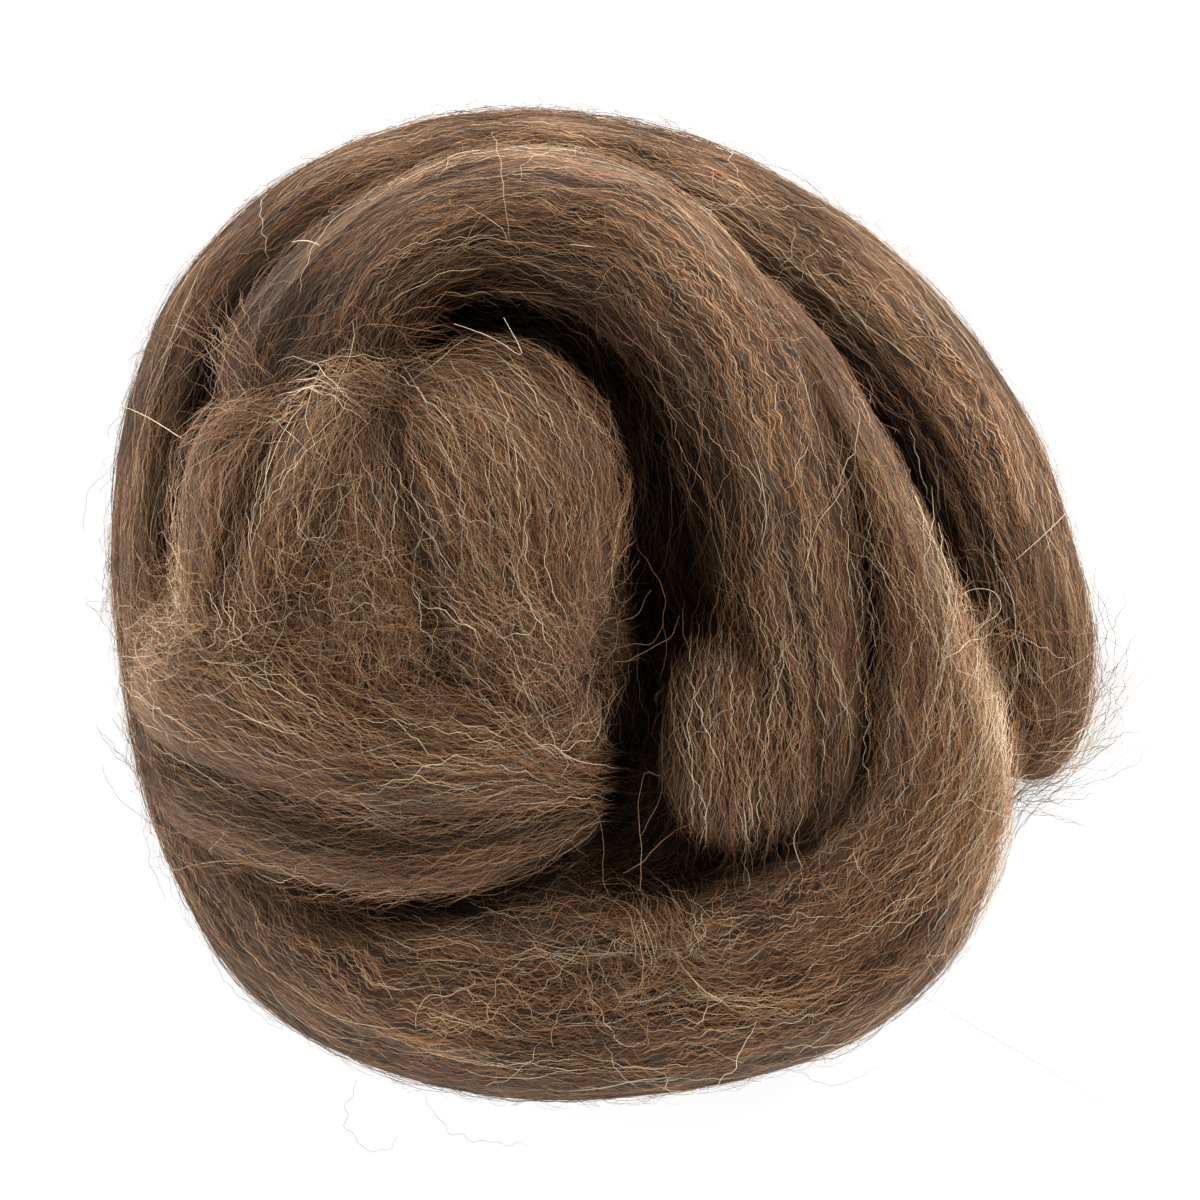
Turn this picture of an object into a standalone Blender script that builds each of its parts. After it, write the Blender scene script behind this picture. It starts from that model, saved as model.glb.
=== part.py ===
"""A nest of combed wool roving: one long, soft, untwisted strand wound round and over itself.

The strand starts with a loose end on the right, runs once round as the outer coil, climbs over its
own start, crosses the top as the inner coil and ends as a ball of folds on the left and a small
tucked bend on the right. Each stretch is a loft along its own path, oval in section, and all of
them are fused into one closed body that lies on a small flat.
"""

import math

import bmesh
import bpy
import numpy as np

MM = 0.001

NODE = "wool_roving"

# Fineness of the lofts and of the fused body, lengths in mm.
STATION_STEP = 3.5
SECTION_SIDES = 28
CAP_STATIONS = 5
PATH_SAMPLES = 60
FUSE_VOXEL = 1.8
SOFTEN_STEPS = 4
TRIANGLES = 10400

# The strand's own weight presses it flat to this depth where it lies on the table, in mm.
FLAT_DEPTH = 1.2
CUTTER_SIZE = 260.0

# Middle of the finished nest's outline, in the tables' own x and y, in mm.
OUTLINE_MIDDLE = (0.08, -0.46)

# Where each stretch runs. Columns, in mm: x, y and z of the middle of the strand, half its width
# across the table and half its height.
OUTER_COIL = (
    # x, y, z, half_width, half_height
    (66, -28, 8, 5, 6),
    (71, -21, 11, 8, 9.5),
    (70.5, -8, 13, 10, 13),
    (66, 7, 14, 11, 14),
    (59.5, 23.5, 14, 12, 14.5),
    (48, 39.5, 14, 12, 14.5),
    (33, 53, 14, 12, 14.5),
    (15, 64, 14, 11.5, 14),
    (-5.5, 70, 13, 10, 13.5),
    (-26.8, 70, 12, 9, 12.5),
    (-45.8, 62.8, 12, 8.5, 12),
    (-60.4, 49.8, 12, 8, 12),
    (-68.8, 34, 12, 8, 12),
    (-72, 16, 12, 8, 12),
    (-71, 0, 12.5, 9, 12.5),
    (-67, -16, 13.5, 10.5, 13.5),
    (-60.5, -33, 13.5, 13, 14),
    (-51, -47.5, 13.5, 15.5, 14),
    (-37.5, -57.5, 13.5, 17, 14),
    (-18, -63, 14, 17.5, 14.5),
    (2, -64, 14.5, 17, 15),
    (20, -61, 16, 17, 15),
    (37.5, -54, 18, 17, 15.5),
    (47.5, -42, 21, 16.5, 15.5),
    (52, -27, 24.5, 14, 15),
    (50.5, -13.5, 28, 10.5, 14),
    (49.5, -1.5, 31, 8, 13),
    (46, 11, 33, 6.5, 12),
    (41.5, 22.5, 34, 5.5, 10.5),
    (34.8, 34.5, 35, 5, 9.8),
    (26.5, 45, 35.5, 4.8, 9.2),
    (16.5, 53.5, 36, 4.5, 8.8),
    (6, 59.5, 35.5, 4, 8),
)
INNER_COIL = (
    (-44, 24, 23, 18, 11),
    (-44.5, 35, 27, 17.5, 12.5),
    (-39.5, 46.5, 31, 14, 13.5),
    (-29.5, 56, 35, 11.5, 14),
    (-15.5, 60.2, 37, 12.3, 14),
    (1.8, 56.8, 38, 13, 14),
    (14.2, 46.3, 38, 13, 14),
    (22.2, 33.5, 37.5, 13.8, 14),
    (26.5, 20, 37, 13.5, 14),
    (29.5, 7, 35, 13.5, 14),
    (32, -5.5, 32.5, 12, 13.5),
    (35.5, -18, 29, 9, 12.5),
    (35.5, -30, 24, 7, 11),
    (31, -40, 18, 5.5, 9),
)
TUCKED_BEND = (
    (25, 1, 27, 7, 6),
    (24.5, -7, 31, 10, 8),
    (23.8, -15, 33.5, 12.5, 9.5),
    (23.3, -23, 33.5, 13.2, 10),
    (23.2, -29.5, 30.5, 12.5, 9.5),
    (23.5, -33, 24.5, 10.5, 8),
    (24, -34, 17, 8, 6.5),
)
LEFT_FOLD = (
    (-46, 22, 29, 6, 6),
    (-50.5, 25, 35, 7, 7.5),
    (-57, 23, 39.5, 7.5, 8.5),
    (-60, 17, 42, 7, 9.5),
    (-60, 9.5, 42, 7, 10),
    (-59.5, 1.5, 41, 7, 10),
    (-59, -6.5, 39.5, 7, 9.5),
    (-58, -13, 36, 7, 8),
)
MIDDLE_FOLD = (
    (-39, 25, 24, 6, 7),
    (-37.5, 27, 32, 9.5, 8),
    (-36, 24, 39.5, 13.5, 10),
    (-35.5, 15, 43.5, 16.5, 12),
    (-35.5, 5, 44.5, 17.5, 12.5),
    (-36, -5, 44.5, 17.5, 12.5),
    (-37, -14, 42, 16, 12),
    (-38.5, -20, 37.5, 13.5, 9.5),
)
RIDGE_FOLD = (
    (-36, 33, 38, 4, 5),
    (-39, 31.5, 44, 5.5, 6.5),
    (-43, 26.5, 48, 6, 7.5),
    (-46.5, 19, 50, 6, 8),
    (-49, 11, 50, 6, 8),
    (-51.5, 3, 48.5, 6, 8),
    (-54, -5, 46, 6, 7.5),
    (-56, -12, 42, 5, 6),
)
RIGHT_FOLD = (
    (-21, 27, 26, 10, 9),
    (-19, 28.5, 36, 14, 11),
    (-17, 24.5, 44.5, 17.5, 13),
    (-15, 16.5, 48, 18, 14.5),
    (-14, 7.5, 48.5, 16, 14),
    (-14.5, -1, 47, 14.5, 13.5),
    (-17, -9, 44, 13.5, 12),
    (-20, -16, 39, 12, 9),
)
FAN_FOLD = (
    (-33, 29, 40, 5, 5),
    (-27, 31, 43.5, 6.5, 6),
    (-19, 31.5, 46, 7, 7),
    (-10.5, 28.5, 48, 7, 7.5),
    (-4.5, 21.5, 49, 6.5, 8),
    (-2.5, 13, 48, 6, 7.5),
    (-3.5, 5, 46, 5.5, 7),
    (-7, -3, 42, 5, 6),
)
FRONT_FOLD = (
    (-64, -11, 17, 8, 7),
    (-66.5, -11, 25, 10.5, 8.5),
    (-63, -12.5, 34, 12.5, 11),
    (-54, -15.5, 39, 13.5, 13.5),
    (-42, -18.5, 41.5, 14, 14.5),
    (-28, -21, 42, 14, 14.5),
    (-18, -21.5, 41, 13.5, 14),
    (-11, -20.5, 37.5, 13, 11),
    (-8, -19.5, 31, 11.5, 9),
    (-7.5, -19.5, 23, 10, 8),
)
LOW_FOLD = (
    (-64, -30, 14, 6, 6),
    (-65, -31, 19, 7, 7),
    (-60, -33, 24.5, 8.5, 9),
    (-50, -36, 28, 9, 11),
    (-36, -37.5, 29.5, 9.5, 12),
    (-24, -37, 29.5, 9.5, 12),
    (-14, -34.5, 28, 9, 11),
    (-7, -32, 25, 8, 8.5),
    (-5, -30, 19, 7, 7),
)
# Turns that the ones above lie on. They show only from below and in the gaps.
LOWER_TURN = (
    (12, -46, 9, 8, 7),
    (24, -42, 10, 9, 8),
    (33, -32, 12, 9, 9),
    (30, -12, 16, 11, 12),
    (22, 6, 19, 13, 13),
    (17, 24, 20, 13, 13),
    (6, 38, 19, 12, 13),
    (-10, 45, 17, 12, 12),
    (-28, 44, 13, 10, 10),
)
BEDDING_TURN = (
    (46, -34, 11, 8, 8),
    (48.5, -18, 11, 9, 8),
    (47, -2, 12, 8.5, 9),
    (42, 15, 13, 9, 9),
    (32, 30, 14, 9, 9),
    (19, 44, 15, 10, 10),
)
FLOOR_TURN = (
    (-54, -10, 9, 10, 8),
    (-48, -28, 9, 12, 8),
    (-32, -42, 9, 12, 8),
    (-12, -46, 9, 12, 8),
    (6, -41, 9, 15, 8.5),
    (14, -28, 11, 15, 10),
    (10, -4, 9, 14, 8),
    (9, 14, 9, 14, 8),
    (2, 33, 9, 13, 8),
    (-14, 45, 9, 14, 8),
    (-34, 45, 9, 14.5, 8),
    (-51, 33, 9, 14, 8),
    (-57, 16, 9, 10, 8),
)
BALL_CORE = (
    (-62, -4, 16, 12, 10),
    (-52, -3, 20, 26, 19),
    (-36, -2, 23, 31, 23),
    (-20, -3, 23, 30, 23),
    (-10, -5, 20, 23, 18),
    (-1, -7, 16, 18, 14),
    (6, -8, 13, 14, 10),
)
STRETCHES = (
    OUTER_COIL,
    INNER_COIL,
    TUCKED_BEND,
    LEFT_FOLD,
    MIDDLE_FOLD,
    RIDGE_FOLD,
    RIGHT_FOLD,
    FAN_FOLD,
    FRONT_FOLD,
    LOW_FOLD,
    LOWER_TURN,
    BEDDING_TURN,
    FLOOR_TURN,
    BALL_CORE,
)

# Natural brown wool.
WOOL_COLOUR = (0.085, 0.050, 0.030, 1.0)
WOOL_ROUGHNESS = 0.85


def clear_scene():
    """Removes the objects that a new file starts with."""
    for old in list(bpy.data.objects):
        bpy.data.objects.remove(old)


def spline(table, places):
    """Catmull-Rom curve through a table's rows, read at places counted in rows."""
    rows = np.array(table, float)
    padded = np.vstack([2 * rows[0] - rows[1], rows, 2 * rows[-1] - rows[-2]])
    start = np.clip(places.astype(int), 0, len(rows) - 2)
    t = (places - start)[:, None]
    a, b, c, d = (padded[start + k] for k in range(4))
    return 0.5 * (
        2 * b + (c - a) * t + (2 * a - 5 * b + 4 * c - d) * t**2 + (3 * b - a - 3 * c + d) * t**3
    )


def stations(table):
    """Rows at even steps along the path, closer at the ends, and how far each section is drawn in."""
    fine = np.linspace(0, len(table) - 1, PATH_SAMPLES * len(table))
    path = spline(table, fine)
    run = np.concatenate([[0], np.cumsum(np.linalg.norm(np.diff(path[:, :3], axis=0), axis=1))])
    length = run[-1]
    turn = np.linspace(0, math.pi / 2, CAP_STATIONS + 1)
    first = path[0, 3:].mean() * (1 - np.cos(turn))
    last = length - path[-1, 3:].mean() * (1 - np.cos(turn[::-1]))
    count = max(2, round((last[0] - first[-1]) / STATION_STEP))
    middle = np.linspace(first[-1], last[0], count + 1)
    at = np.concatenate([first[:-1], middle, last[1:]])
    rows = spline(table, np.interp(at, run, fine))
    drawn_in = np.concatenate([np.sin(turn[:-1]), np.ones(count + 1), np.sin(turn[::-1][1:])])
    return rows, drawn_in


def rings(table):
    """Points of the oval sections, one ring for each station, in metres."""
    rows, drawn_in = stations(table)
    centre = rows[:, :3]
    ahead = np.gradient(centre, axis=0)
    ahead /= np.linalg.norm(ahead, axis=1, keepdims=True)
    across = np.cross((0, 0, 1), ahead)
    across /= np.linalg.norm(across, axis=1, keepdims=True)
    upward = np.cross(ahead, across)
    angle = np.linspace(0, 2 * math.pi, SECTION_SIDES, endpoint=False)
    side = (rows[:, 3] * drawn_in)[:, None] * np.cos(angle)
    rise = (rows[:, 4] * drawn_in)[:, None] * np.sin(angle)
    points = centre[:, None] + across[:, None] * side[..., None] + upward[:, None] * rise[..., None]
    points[..., :2] -= OUTLINE_MIDDLE
    return points * MM


def add_stretch(bm, table):
    """Adds one stretch of the strand as a closed loft with rounded ends."""
    points = rings(table)
    poles = [bm.verts.new(points[0].mean(axis=0)), bm.verts.new(points[-1].mean(axis=0))]
    loops = [[bm.verts.new(p) for p in ring] for ring in points[1:-1]]
    for near, far in zip(loops, loops[1:]):
        for i in range(SECTION_SIDES):
            j = (i + 1) % SECTION_SIDES
            bm.faces.new((near[i], near[j], far[j], far[i]))
    for i in range(SECTION_SIDES):
        j = (i + 1) % SECTION_SIDES
        bm.faces.new((poles[0], loops[0][j], loops[0][i]))
        bm.faces.new((poles[1], loops[-1][i], loops[-1][j]))


def make_wool():
    """The nest's material."""
    material = bpy.data.materials.new("natural_wool")
    material.use_nodes = True
    shader = material.node_tree.nodes["Principled BSDF"]
    shader.inputs["Base Color"].default_value = WOOL_COLOUR
    shader.inputs["Roughness"].default_value = WOOL_ROUGHNESS
    shader.inputs["Metallic"].default_value = 0.0
    return material


def make_cutter(collection):
    """A block under the table top, which cuts the flat that the nest lies on."""
    bm = bmesh.new()
    bmesh.ops.create_cube(bm, size=CUTTER_SIZE * MM)
    bmesh.ops.translate(bm, verts=bm.verts, vec=(0, 0, (FLAT_DEPTH - CUTTER_SIZE / 2) * MM))
    mesh = bpy.data.meshes.new("table_cutter")
    bm.to_mesh(mesh)
    bm.free()
    cutter = bpy.data.objects.new("table_cutter", mesh)
    cutter.hide_render = True
    cutter.display_type = "WIRE"
    collection.objects.link(cutter)
    return cutter


def triangle_count(body):
    """How many triangles the body has with its modifiers so far."""
    graph = bpy.context.evaluated_depsgraph_get()
    mesh = body.evaluated_get(graph).to_mesh()
    mesh.calc_loop_triangles()
    count = len(mesh.loop_triangles)
    body.evaluated_get(graph).to_mesh_clear()
    return count


def make_nest(collection, cutter):
    """All the stretches fused into one body, thinned to the wanted triangles and cut flat below."""
    bm = bmesh.new()
    for table in STRETCHES:
        add_stretch(bm, table)
    mesh = bpy.data.meshes.new(NODE)
    bm.to_mesh(mesh)
    bm.free()
    mesh.materials.append(make_wool())
    nest = bpy.data.objects.new(NODE, mesh)
    collection.objects.link(nest)

    fuse = nest.modifiers.new("fuse", "REMESH")
    fuse.mode = "VOXEL"
    fuse.voxel_size = FUSE_VOXEL * MM
    fuse.use_smooth_shade = True
    soften = nest.modifiers.new("soften", "SMOOTH")
    soften.iterations = SOFTEN_STEPS
    thin = nest.modifiers.new("thin", "DECIMATE")
    thin.ratio = TRIANGLES / triangle_count(nest)
    flat = nest.modifiers.new("flat", "BOOLEAN")
    flat.operation = "DIFFERENCE"
    flat.solver = "EXACT"
    flat.object = cutter
    nest.location.z = -FLAT_DEPTH * MM
    cutter.location.z = -FLAT_DEPTH * MM
    return nest


def main():
    """Builds the nest and its cutter in their own collections."""
    clear_scene()
    nest_parts = bpy.data.collections.new("wool_roving_nest")
    cutters = bpy.data.collections.new("cutters")
    for collection in (nest_parts, cutters):
        bpy.context.scene.collection.children.link(collection)
    cutter = make_cutter(cutters)
    make_nest(nest_parts, cutter)


main()
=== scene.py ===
"""Looks of a nest of natural brown wool roving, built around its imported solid.

The strand is rebuilt as finely ridged lofts along the same paths as the solid, and thousands of
combed hairs, tangles, fuzz and stray hairs lie on them. Lengths in the tables are in mm.
"""

import logging
import math
from dataclasses import dataclass, field
from enum import Enum

import bpy
import numpy as np
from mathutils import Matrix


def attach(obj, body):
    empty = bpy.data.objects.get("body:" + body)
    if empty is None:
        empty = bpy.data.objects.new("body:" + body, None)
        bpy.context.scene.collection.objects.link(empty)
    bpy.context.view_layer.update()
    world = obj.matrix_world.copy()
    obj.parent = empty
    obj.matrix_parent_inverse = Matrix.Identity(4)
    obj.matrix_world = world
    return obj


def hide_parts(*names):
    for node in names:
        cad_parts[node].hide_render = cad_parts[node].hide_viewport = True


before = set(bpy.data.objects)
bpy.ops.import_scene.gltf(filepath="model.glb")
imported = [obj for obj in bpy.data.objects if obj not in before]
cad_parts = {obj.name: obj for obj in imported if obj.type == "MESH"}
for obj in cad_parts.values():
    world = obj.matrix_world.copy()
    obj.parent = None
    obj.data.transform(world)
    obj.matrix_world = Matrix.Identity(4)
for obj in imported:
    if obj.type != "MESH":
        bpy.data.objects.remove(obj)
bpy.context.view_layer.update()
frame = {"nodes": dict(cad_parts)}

Array = np.ndarray
Table = tuple[tuple[float, ...], ...]
Colour = tuple[float, float, float]
Socket = bpy.types.NodeSocket

MM = 0.001
MM_IN_CM = 10
BODY = "root"
NODE = "wool_roving"

# The solid's own shift: the middle of its outline, and how deep its flat is pressed, in mm.
SHIFT = np.array((0.08, -0.46, 1.2))
# Hairs lie at least this far above the table, in mm.
HAIR_CLEARANCE = 0.15
# A piece of hairs holds about this many triangles at most.
PIECE_TRIANGLES = 190_000
# The mesh layers that the wool's finish reads: places on the strand's map, and painted light and
# shade.
STRAND_MAP = "strand_map"
PAINTED_SHADING_LAYER = "painted_shading_and_tone"
# How far apart neighbouring lanes of fibres read the noise of the crimp and of the breaks.
CRIMP_APART = 7.31
BREAKS_APART = 3.77
# How far painted shade may darken and painted light may lighten the ground, as factors of its usual
# colour.
PAINTED_SHADING_LIMITS = (0.25, 2.2)
# Hairs keep this far from the ends of their stretch, in mm.
END_MARGIN = 1.5
# Shortest and longest wave of a hair's height, in mm.
HEIGHT_WAVES = (5.0, 12.0)
# Thinnest and thickest hair of a layer, as factors of the layer's radius.
THICKNESS_RANGE = (0.7, 1.35)
# Radius of a hair's tip, as a share of the radius at its middle.
TIP = 0.35
# The least lever that turns a step round the strand into an angle, in mm.
LEAST_LEVER = 3.0

LOG = logging.getLogger("wool_roving")

# Columns of a stretch's path: the middle, the directions ahead, across and upward, and half sizes.
MIDDLE, AHEAD, ACROSS, UPWARD = (slice(k, k + 3) for k in (0, 3, 6, 9))
WIDE, HIGH = 12, 13
# Readings of a spline to each of its rows, for measuring its length.
FINE_READINGS = 60
# Cells of the ridges: length along the strand and width round it, in mm, from lumps to fine ridges.
RIDGE_CELLS = ((30, 11), (22, 3.0), (13, 1.7))
# Cells of the light and dark streaks, in the same way.
STREAK_CELL = (28, 2.4)
# The steepest lean of the fibres that is drawn, in radians.
STEEPEST_LEAN = 1.2
# How far apart the maps of neighbouring stretches lie, along and around, in cm.
MAPS_APART = (7.3, 3.1)
# How many rings round off either end of a stretch.
END_RINGS = 7
# How much of the ridges' height the hairs on them follow, and how deep they are bedded, in mm.
FOLLOWED = 0.6
BEDDED = 0.15
# Patches that are looked at for what shows: their length in mm, and how many go round the strand.
PATCH_LENGTH = 2.5
PATCHES_ROUND = 40
# A face is a side below the first slope, and an underside below the second: the upward part of its
# outward direction.
SIDE_SLOPE = -0.15
UNDER_SLOPE = -0.45
# A patch is hidden if another stretch holds the point so far out from it, in mm, and counts less
# if another stretch holds a point further out.
TOUCHING = 0.8
CROWDED = 4.0
CROWDED_SHARE = 0.3
# How much a patch at the very end of a stretch counts.
END_SHARE = 0.3
# Patches less than this above the table hold no hairs, in mm.
NEAR_TABLE = 0.2

# Columns of every table of stretches, in mm: x, y and z of the strand's middle, half its width
# across the table and half its height.
OUTER_COIL: Table = (
    # x, y, z, half_width, half_height
    (66, -28, 8, 5, 6),
    (71, -21, 11, 8, 9.5),
    (70.5, -8, 13, 10, 13),
    (66, 7, 14, 11, 14),
    (59.5, 23.5, 14, 12, 14.5),
    (48, 39.5, 14, 12, 14.5),
    (33, 53, 14, 12, 14.5),
    (15, 64, 14, 11.5, 14),
    (-5.5, 70, 13, 10, 13.5),
    (-26.8, 70, 12, 9, 12.5),
    (-45.8, 62.8, 12, 8.5, 12),
    (-60.4, 49.8, 12, 8, 12),
    (-68.8, 34, 12, 8, 12),
    (-72, 16, 12, 8, 12),
    (-71, 0, 12.5, 9, 12.5),
    (-67, -16, 13.5, 10.5, 13.5),
    (-60.5, -33, 13.5, 13, 14),
    (-51, -47.5, 13.5, 15.5, 14),
    (-37.5, -57.5, 13.5, 17, 14),
    (-18, -63, 14, 17.5, 14.5),
    (2, -64, 14.5, 17, 15),
    (20, -61, 16, 17, 15),
    (37.5, -54, 18, 17, 15.5),
    (47.5, -42, 21, 16.5, 15.5),
    (52, -27, 24.5, 14, 15),
    (50.5, -13.5, 28, 10.5, 14),
    (49.5, -1.5, 31, 8, 13),
    (46, 11, 33, 6.5, 12),
    (41.5, 22.5, 34, 5.5, 10.5),
    (34.8, 34.5, 35, 5, 9.8),
    (26.5, 45, 35.5, 4.8, 9.2),
    (16.5, 53.5, 36, 4.5, 8.8),
    (6, 59.5, 35.5, 4, 8),
)
INNER_COIL: Table = (
    (-44, 24, 23, 18, 11),
    (-44.5, 35, 27, 17.5, 12.5),
    (-39.5, 46.5, 31, 14, 13.5),
    (-29.5, 56, 35, 11.5, 14),
    (-15.5, 60.2, 37, 12.3, 14),
    (1.8, 56.8, 38, 13, 14),
    (14.2, 46.3, 38, 13, 14),
    (22.2, 33.5, 37.5, 13.8, 14),
    (26.5, 20, 37, 13.5, 14),
    (29.5, 7, 35, 13.5, 14),
    (32, -5.5, 32.5, 12, 13.5),
    (35.5, -18, 29, 9, 12.5),
    (35.5, -30, 24, 7, 11),
    (31, -40, 18, 5.5, 9),
)
TUCKED_BEND: Table = (
    (25, 1, 27, 7, 6),
    (24.5, -7, 31, 10, 8),
    (23.8, -15, 33.5, 12.5, 9.5),
    (23.3, -23, 33.5, 13.2, 10),
    (23.2, -29.5, 30.5, 12.5, 9.5),
    (23.5, -33, 24.5, 10.5, 8),
    (24, -34, 17, 8, 6.5),
)
LEFT_FOLD: Table = (
    (-46, 22, 29, 6, 6),
    (-50.5, 25, 35, 7, 7.5),
    (-57, 23, 39.5, 7.5, 8.5),
    (-60, 17, 42, 7, 9.5),
    (-60, 9.5, 42, 7, 10),
    (-59.5, 1.5, 41, 7, 10),
    (-59, -6.5, 39.5, 7, 9.5),
    (-58, -13, 36, 7, 8),
)
MIDDLE_FOLD: Table = (
    (-39, 25, 24, 6, 7),
    (-37.5, 27, 32, 9.5, 8),
    (-36, 24, 39.5, 13.5, 10),
    (-35.5, 15, 43.5, 16.5, 12),
    (-35.5, 5, 44.5, 17.5, 12.5),
    (-36, -5, 44.5, 17.5, 12.5),
    (-37, -14, 42, 16, 12),
    (-38.5, -20, 37.5, 13.5, 9.5),
)
RIDGE_FOLD: Table = (
    (-36, 33, 38, 4, 5),
    (-39, 31.5, 44, 5.5, 6.5),
    (-43, 26.5, 48, 6, 7.5),
    (-46.5, 19, 50, 6, 8),
    (-49, 11, 50, 6, 8),
    (-51.5, 3, 48.5, 6, 8),
    (-54, -5, 46, 6, 7.5),
    (-56, -12, 42, 5, 6),
)
RIGHT_FOLD: Table = (
    (-21, 27, 26, 10, 9),
    (-19, 28.5, 36, 14, 11),
    (-17, 24.5, 44.5, 17.5, 13),
    (-15, 16.5, 48, 18, 14.5),
    (-14, 7.5, 48.5, 16, 14),
    (-14.5, -1, 47, 14.5, 13.5),
    (-17, -9, 44, 13.5, 12),
    (-20, -16, 39, 12, 9),
)
FRONT_FOLD: Table = (
    (-64, -11, 17, 8, 7),
    (-66.5, -11, 25, 10.5, 8.5),
    (-63, -12.5, 34, 12.5, 11),
    (-54, -15.5, 39, 13.5, 13.5),
    (-42, -18.5, 41.5, 14, 14.5),
    (-28, -21, 42, 14, 14.5),
    (-18, -21.5, 41, 13.5, 14),
    (-11, -20.5, 37.5, 13, 11),
    (-8, -19.5, 31, 11.5, 9),
    (-7.5, -19.5, 23, 10, 8),
)
LOW_FOLD: Table = (
    (-64, -30, 14, 6, 6),
    (-65, -31, 19, 7, 7),
    (-60, -33, 24.5, 8.5, 9),
    (-50, -36, 28, 9, 11),
    (-36, -37.5, 29.5, 9.5, 12),
    (-24, -37, 29.5, 9.5, 12),
    (-14, -34.5, 28, 9, 11),
    (-7, -32, 25, 8, 8.5),
    (-5, -30, 19, 7, 7),
)
# The fan of hairs over the right fold's back and right rim.
FAN_FOLD: Table = (
    (-33, 29, 40, 5, 5),
    (-27, 31, 43.5, 6.5, 6),
    (-19, 31.5, 46, 7, 7),
    (-10.5, 28.5, 48, 7, 7.5),
    (-4.5, 21.5, 49, 6.5, 8),
    (-2.5, 13, 48, 6, 7.5),
    (-3.5, 5, 46, 5.5, 7),
    (-7, -3, 42, 5, 6),
)
# Packed wool under the outer coil's second lap.
BEDDING_TURN: Table = (
    (46, -34, 11, 8, 8),
    (48.5, -18, 11, 9, 8),
    (47, -2, 12, 8.5, 9),
    (42, 15, 13, 9, 9),
    (32, 30, 14, 9, 9),
    (19, 44, 15, 10, 10),
)
LOWER_TURN: Table = (
    (12, -46, 9, 8, 7),
    (24, -42, 10, 9, 8),
    (33, -32, 12, 9, 9),
    (30, -12, 16, 11, 12),
    (22, 6, 19, 13, 13),
    (17, 24, 20, 13, 13),
    (6, 38, 19, 12, 13),
    (-10, 45, 17, 12, 12),
    (-28, 44, 13, 10, 10),
)
FLOOR_TURN: Table = (
    (-54, -10, 9, 10, 8),
    (-48, -28, 9, 12, 8),
    (-32, -42, 9, 12, 8),
    (-12, -46, 9, 12, 8),
    (6, -41, 9, 15, 8.5),
    (14, -28, 11, 15, 10),
    (10, -4, 9, 14, 8),
    (9, 14, 9, 14, 8),
    (2, 33, 9, 13, 8),
    (-14, 45, 9, 14, 8),
    (-34, 45, 9, 14.5, 8),
    (-51, 33, 9, 14, 8),
    (-57, 16, 9, 10, 8),
)
BALL_CORE: Table = (
    (-62, -4, 16, 12, 10),
    (-52, -3, 20, 26, 19),
    (-36, -2, 23, 31, 23),
    (-20, -3, 23, 30, 23),
    (-10, -5, 20, 23, 18),
    (-1, -7, 16, 18, 14),
    (6, -8, 13, 14, 10),
)
UNDERLAY: Table = (
    (-61, 5, 4, 24, 2.6),
    (-48, 4, 4, 38, 2.6),
    (-25, 2, 4, 50, 2.6),
    (5, -1, 4, 54, 2.6),
    (34, -6, 4, 48, 2.6),
    (50, -10, 4, 38, 2.6),
    (62, -12, 4, 26, 2.6),
)

# Above 0 paints light, as on the rims and the ridge's crest; below 0 paints shade, as in the
# creases and the hollow; partly these are also the wool's own paler and darker patches.
# Columns: x, y and reach in mm, and how much lighter the wool is painted around that place.
PAINTED_SHADING_AND_TONE_MARKS: Table = (
    (-35, 72, 7, 0.35),
    (-8, 76, 8, 0.55),
    (20, 70, 8, 0.50),
    (45, 52, 7, 0.35),
    (66, 26, 7, 0.30),
    (49, 14, 4, 0.20),
    (57, -4, 4, 0.50),
    (61, -20, 6, 1.30),
    (61, -40, 7, 0.75),
    (-79, 15, 6, 0.55),
    (-75, -8, 7, 0.55),
    (-35, -58, 14, -0.15),
    (0, -58, 14, -0.15),
    (25, -56, 12, -0.15),
    (-25, -38, 14, -0.10),
    (-52, 45, 8, -0.35),
    (-60, 30, 6, -0.20),
    (-10, 46, 9, -0.25),
    (11, 38, 7, -0.28),
    (18, 15, 7, -0.28),
    (62, 2, 4, -0.20),
)


def unit(vectors: Array) -> Array:
    """Vectors divided by their own length."""
    return vectors / np.maximum(np.linalg.norm(vectors, axis=-1, keepdims=True), 1e-9)


def spline(rows: Array, places: Array) -> Array:
    """Catmull-Rom curve through rows: each span is a cubic whose slopes at its ends are half the
    difference between the neighbouring rows.

    Args:
        rows: The rows that the curve passes through.
        places: Where to read it, counted in rows.

    Returns:
        One row of values for each place.
    """
    padded = np.vstack([2 * rows[0] - rows[1], rows, 2 * rows[-1] - rows[-2]])
    start = np.clip(places.astype(int), 0, len(rows) - 2)
    t = (places - start)[:, None]
    a, b, c, d = (padded[start + k] for k in range(4))
    return 0.5 * (
        2 * b + (c - a) * t + (2 * a - 5 * b + 4 * c - d) * t**2 + (3 * b - a - 3 * c + d) * t**3
    )


def even_path(rows: Array, step: float) -> tuple[Array, Array]:
    """Reads a spline at even steps of its own length.

    Args:
        rows: Control rows, whose first three columns are x, y and z.
        step: The step along the curve, in mm.

    Returns:
        The distances from the start, and all columns at them.
    """
    fine = np.linspace(0, len(rows) - 1, FINE_READINGS * len(rows))
    curve = spline(rows, fine)
    run = np.concatenate([[0], np.cumsum(np.linalg.norm(np.diff(curve[:, :3], axis=0), axis=1))])
    at = np.linspace(0, run[-1], max(2, round(run[-1] / step)) + 1)
    return at, spline(rows, np.interp(at, run, fine))


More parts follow.
